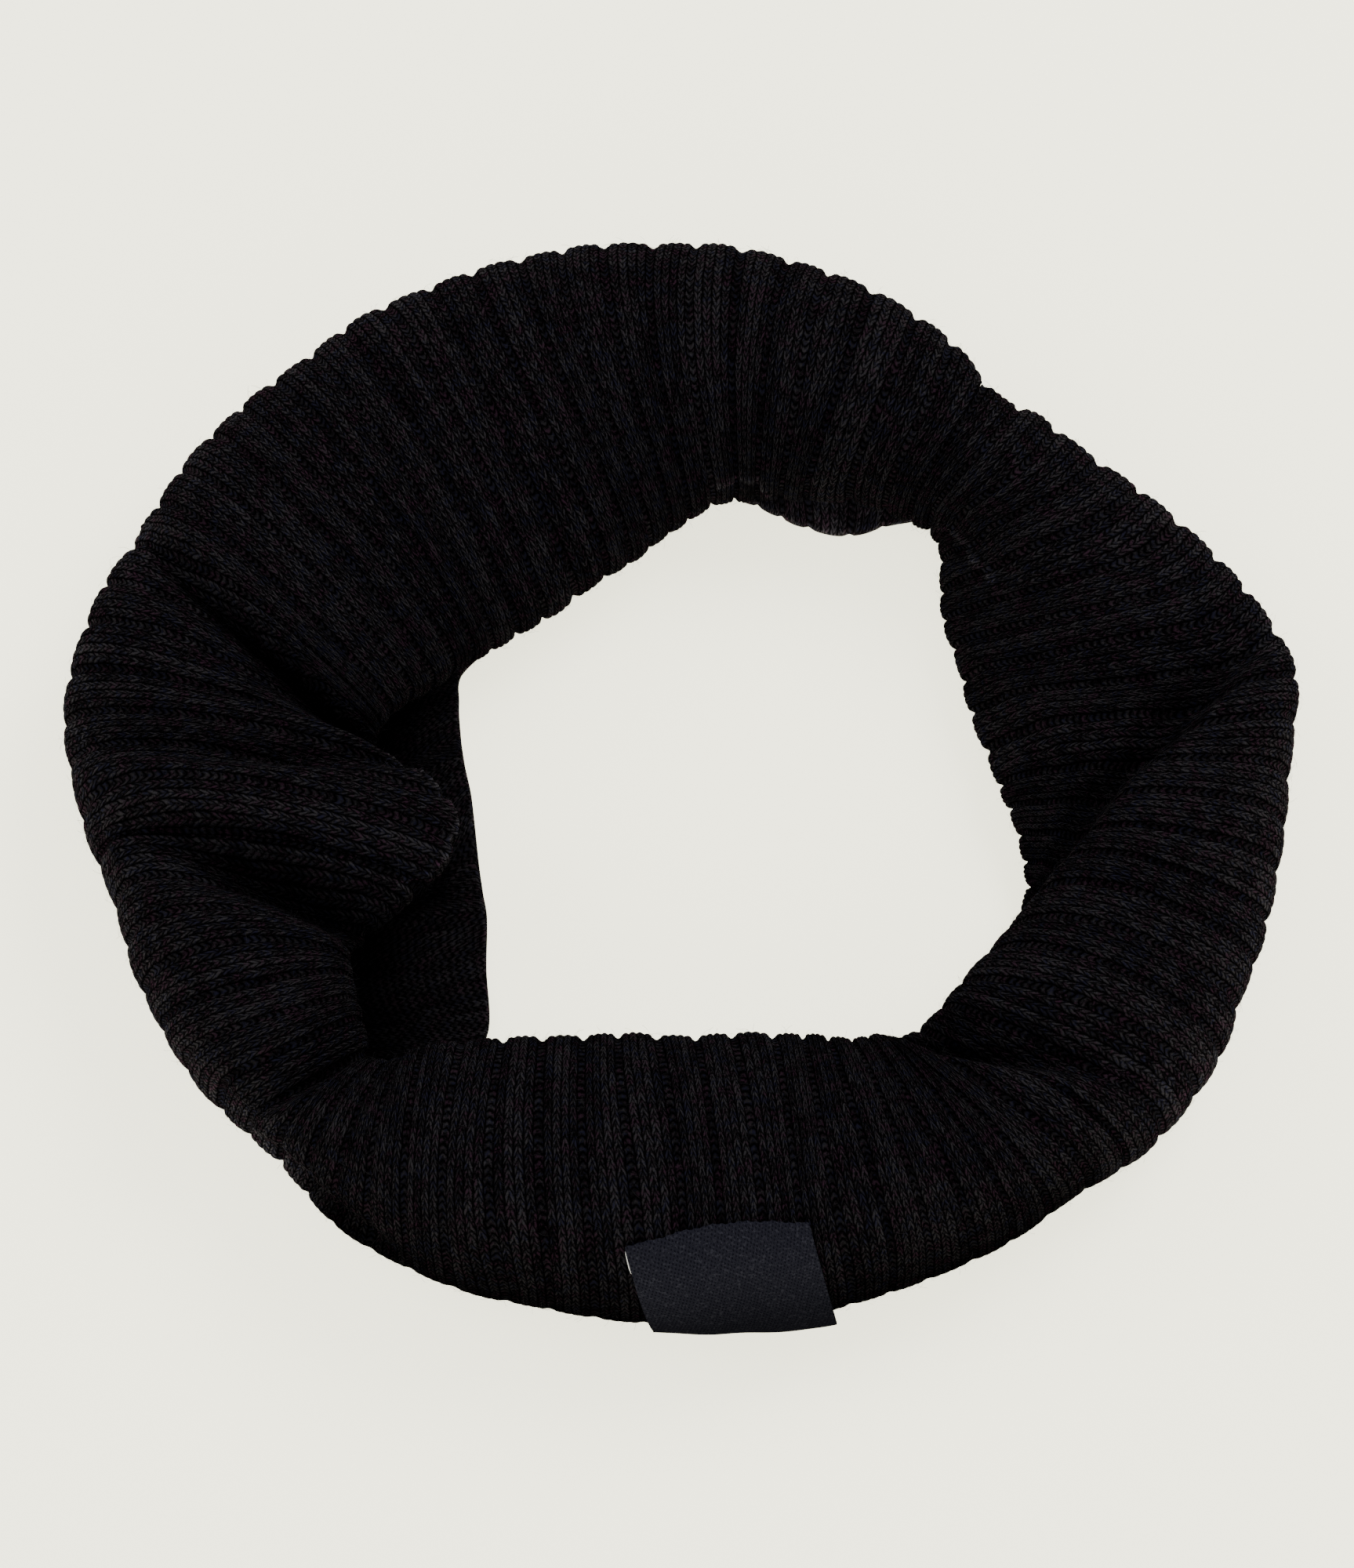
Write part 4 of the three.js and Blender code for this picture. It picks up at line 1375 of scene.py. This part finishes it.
@dataclass
class LabelThread:
    """Short pale thread that holds the label's upper left edge."""

    label: WovenLabel
    name: str = "label_thread"
    along: float = 1.004
    start_up: float = 0.85
    end_up: float = 0.98
    lift: float = 0.35
    arch: float = 0.5
    radius: float = 0.13
    points: int = 14
    sides: int = 8

    def build(self, material: bpy.types.Material) -> bpy.types.Object:
        """Builds the thread as a round, tapered tube on the label's left edge.

        Args:
            material: The pale thread.

        Returns:
            The piece.
        """
        up = np.linspace(self.start_up, self.end_up, self.points)
        share = np.linspace(0, 1, self.points)
        path = self.label.point(self.along, up, self.lift + self.arch * np.sin(np.pi * share))
        forward = unit(np.gradient(path, axis=0))
        side = unit(np.cross(forward, np.array([0.0, 0.0, 1.0])))
        rise = np.cross(side, forward)
        width = self.radius * np.sqrt(np.clip(1 - (2 * share - 1) ** 6, 0.05, 1))
        angle = np.linspace(0, 2 * np.pi, self.sides, endpoint=False)
        ring = (
            path[:, None]
            + side[:, None] * (np.cos(angle)[None, :] * width[:, None])[..., None]
            + rise[:, None] * (np.sin(angle)[None, :] * width[:, None])[..., None]
        )
        ids = np.arange(self.points * self.sides).reshape(self.points, self.sides)
        faces = [face[::-1] for face in quads(ids)] + [ids[0].tolist(), ids[-1][::-1].tolist()]
        uv = np.repeat(np.stack([share, share], -1)[:, None], self.sides, 1)
        piece = new_piece(self.name, ring, faces, uv)
        dress(piece, material, Slot.LABEL_WEAVE)
        return piece


class StrayFibres:
    """Geometry Nodes that scatter fine bent fibres over the knit."""

    BEND = {"Middle": (0.25, 0.35), "End": (1.0, 0.3)}  # parts of the length forwards and up
    LEAN_LOW, LEAN_HIGH = (-0.35, -0.5, -math.pi), (0.35, 0.35, math.pi)
    SIZES = {2: 0.5, 3: 1.5}

    def __init__(self) -> None:
        """Builds the tree."""
        bench = group("Scatter fibres", "Geometry")
        (cloth,) = bench.inputs("Geometry", Cloth=None)
        density, length, radius = bench.inputs("Float", Density=100000.0, Length=0.002, Radius=0.00002)
        (seed,) = bench.inputs("Int", Seed=4)
        (yarn,) = bench.inputs("Material", Yarn=None)
        feeds = {"Mesh": cloth, "Density": density, "Seed": seed}
        scatter = bench.add("GeometryNodeDistributePointsOnFaces", feeds, distribute_method="RANDOM")
        handles = {
            name: bench.joined(X=bench.times(length, x), Z=bench.times(length, z))
            for name, (x, z) in self.BEND.items()
        }
        feeds = {"Resolution": 3, "Start": (0, 0, 0), **handles}
        bend = bench.add("GeometryNodeCurveQuadraticBezier", feeds)
        feeds = {"Resolution": 3, "Radius": radius}
        section = bench.add("GeometryNodeCurvePrimitiveCircle", feeds, mode="RADIUS")
        tube = bench.add(
            "GeometryNodeCurveToMesh",
            {"Curve": bend.outputs[0], "Profile Curve": section.outputs[0], "Fill Caps": True},
        )
        turn = bench.add(
            "FunctionNodeRandomValue",
            {0: self.LEAN_LOW, 1: self.LEAN_HIGH, "Seed": seed},
            data_type="FLOAT_VECTOR",
        )
        lean = bench.add(
            "FunctionNodeRotateRotation",
            {0: scatter.outputs["Rotation"], 1: turn.outputs[0]},
            rotation_space="LOCAL",
        )
        size = bench.add("FunctionNodeRandomValue", {**self.SIZES, "Seed": seed}, data_type="FLOAT")
        place = bench.add(
            "GeometryNodeInstanceOnPoints",
            {
                "Points": scatter.outputs["Points"],
                "Instance": tube.outputs[0],
                "Rotation": lean.outputs[0],
                "Scale": size.outputs[1],
            },
        )
        bench.finish(place.outputs[0], yarn, "Fibres")
        self.tree = bench.tree

    def grow(
        self, name: str, ground: bpy.types.Object, material: bpy.types.Material, slot: Slot,
        density: float, length: float, radius: float, seed: int,
    ) -> bpy.types.Object:
        """Scatters fibres over a copy of a piece.

        Args:
            name: Name of the new piece.
            ground: The piece that the fibres stand on.
            material: Finish of the fibres.
            slot: Slot of the record that they belong to; not used.
            density: Fibres a square metre.
            length: Length of a fibre, in millimetres.
            radius: Radius of a fibre, in millimetres.
            seed: Seed of the scatter.

        Returns:
            The piece.
        """
        piece = new_object(name, ground.data.copy())
        run_nodes(
            piece, self.tree, Density=density, Length=length * MM, Radius=radius * MM, Seed=seed,
            Yarn=material,
        )
        dress(piece, material, slot)
        return piece


@dataclass
class Studio:
    """Pale floor, soft light and the camera at the photograph's angle."""

    elevation: float = math.radians(70)
    distance: float = 1.4
    target: tuple[float, float, float] = (-0.00013, -0.00552, 0.025)
    aim_right: float = -0.00044
    aim_up: float = 0.00178
    lens: float = 141.6
    sensor: float = 36.0
    near: float = 0.05
    far: float = 50.0
    floor_size: float = 12.0
    floor_colour: Colour = (0.80, 0.78, 0.64)
    floor_glow: Colour = (1.0, 0.975, 0.73)
    floor_glow_strength: float = 2.4
    floor_roughness: float = 0.9
    floor_specular: float = 0.1
    sky: float = 0.9
    sky_colour: Colour = (1.0, 0.995, 0.985)

    def floor(self) -> bpy.types.Object:
        """Makes the floor, declared as stage."""
        mesh = bpy.data.meshes.new("floor")
        half = self.floor_size / 2
        corners = [(-half, -half, 0), (half, -half, 0), (half, half, 0), (-half, half, 0)]
        mesh.from_pydata(corners, [], [(0, 1, 2, 3)])
        piece = new_object("floor", mesh)
        paint = Paint(
            "Pale floor",
            Base_Color=(*self.floor_colour, 1),
            Roughness=self.floor_roughness,
            Specular_IOR_Level=self.floor_specular,
            Emission_Color=(*self.floor_glow, 1),
            Emission_Strength=self.floor_glow_strength,
        )
        piece.data.materials.append(paint.material)
        piece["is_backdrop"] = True
        return piece

    def light(self, name: str, place: Sequence[float], watts: float, size: float) -> None:
        """Makes one soft area light that points at the ring."""
        data = bpy.data.lights.new(name, "AREA")
        data.energy, data.shape, data.size = watts, "DISK", size
        lamp = new_object(name, data)
        lamp.location = place
        aim = Vector(self.target) - Vector(place)
        lamp.rotation_euler = aim.to_track_quat("-Z", "Y").to_euler()

    def lights(self) -> None:
        """Makes the soft lights and the even sky."""
        world = bpy.data.worlds.new("Studio")
        world.use_nodes = True
        sky = world.node_tree.nodes["Background"]
        sky.inputs["Color"].default_value = (*self.sky_colour, 1)
        sky.inputs["Strength"].default_value = self.sky
        bpy.context.scene.world = world
        self.light("key", (0.9, 0.9, 1.5), 28, 1.0)
        self.light("fill", (-1.4, 0.3, 1.2), 10, 1.2)
        self.light("front", (0.1, -1.6, 1.0), 9, 1.2)

    def camera(self) -> bpy.types.Object:
        """Makes the scene's camera."""
        data = bpy.data.cameras.new("camera")
        data.lens, data.sensor_width = self.lens, self.sensor
        data.clip_start, data.clip_end = self.near, self.far
        eye = new_object("camera", data)
        forward = Vector((0, math.cos(self.elevation), -math.sin(self.elevation)))
        up = Vector((0, math.sin(self.elevation), math.cos(self.elevation)))
        right = Vector((1, 0, 0))
        place = Vector(self.target) - forward * self.distance + right * self.aim_right + up * self.aim_up
        turn = forward.to_track_quat("-Z", "Y").to_matrix().to_4x4()
        eye.matrix_world = Matrix.Translation(place) @ turn
        bpy.context.scene.camera = eye
        return eye


STRETCHES = (
    ("knit_left", "stretch_left", 8.0, 15.0),
    ("knit_back", "stretch_back", 15.0, 37.0),
    ("knit_right", "stretch_right", 37.0, 57.0),
    ("knit_front", "stretch_front", 57.0, 78.0),
    ("knit_front_left", "stretch_front_left", 78.0, 86.0),
)
RIB_KNIT = KnitFinish(
    "Rib knit wool",
    shade=(0.0006, 0.0005, 0.0006),
    light=(0.0185, 0.0172, 0.0188),
    warm=(0.0195, 0.007, 0.0145),
    cool=(0.0088, 0.0088, 0.0185),
    stitch_depth=0.75,
)
# Lighter than the rib knit: painted light against the shade that falls inside the roll.
INNER_KNIT = KnitFinish(
    "Inner knit wool",
    shade=(0.0012, 0.001, 0.0012),
    light=(0.0225, 0.0205, 0.0225),
    warm=(0.0235, 0.0105, 0.0175),
    cool=(0.0135, 0.0125, 0.0215),
    stitch_depth=0.5,
)
FIBRE = PlainFinish("Loose wool fibre", (0.02, 0.019, 0.021), specular=0.0)
PALE_THREAD = PlainFinish("Pale thread", (0.6, 0.6, 0.58), roughness=0.6)
FIBRES_A_METRE = 90000.0
FIBRE_LENGTH, FIBRE_RADIUS, FIRST_SEED = 1.8, 0.018, 3


def corners() -> list[list[float]]:
    """The shown object's box as plain lists."""
    return [list(corner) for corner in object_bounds()]


def main() -> None:
    """Builds every piece in order."""
    logging.basicConfig(level=logging.INFO, format="%(message)s")
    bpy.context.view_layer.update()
    studio = Studio()
    studio.camera()
    studio.floor()
    studio.lights()
    surface = RollSurface(KnitGauge())
    stitches, heather_and_shade, raiser, fibres = StitchBump(), HeatherAndPaintedShade(), RibRaiser(), StrayFibres()
    rib_knit = RIB_KNIT.material(stitches, heather_and_shade)
    inner_knit = INNER_KNIT.material(stitches, heather_and_shade)
    fibre = FIBRE.material()

    tucked = TuckedLayers(surface).build(raiser, inner_knit)
    for seed, (name, node, first, last) in enumerate(STRETCHES, FIRST_SEED):
        stretch = KnitStretch(name, node, first, last, surface)
        piece = stretch.build(raiser, rib_knit)
        stretch.cut()
        LOG.info("%s: flat cut %.3f by %.3f m", name, *stretch.cut())
        fibres.grow(
            f"{name}_fibres", piece, fibre, Slot.RIB_KNIT, FIBRES_A_METRE, FIBRE_LENGTH,
            FIBRE_RADIUS, seed,
        )
    label = WovenLabel(surface)
    label.build(LabelFinish().material())
    LabelThread(label).build(PALE_THREAD.material())

    LOG.info("box %s", corners())


if __name__ == "__main__":
    main()
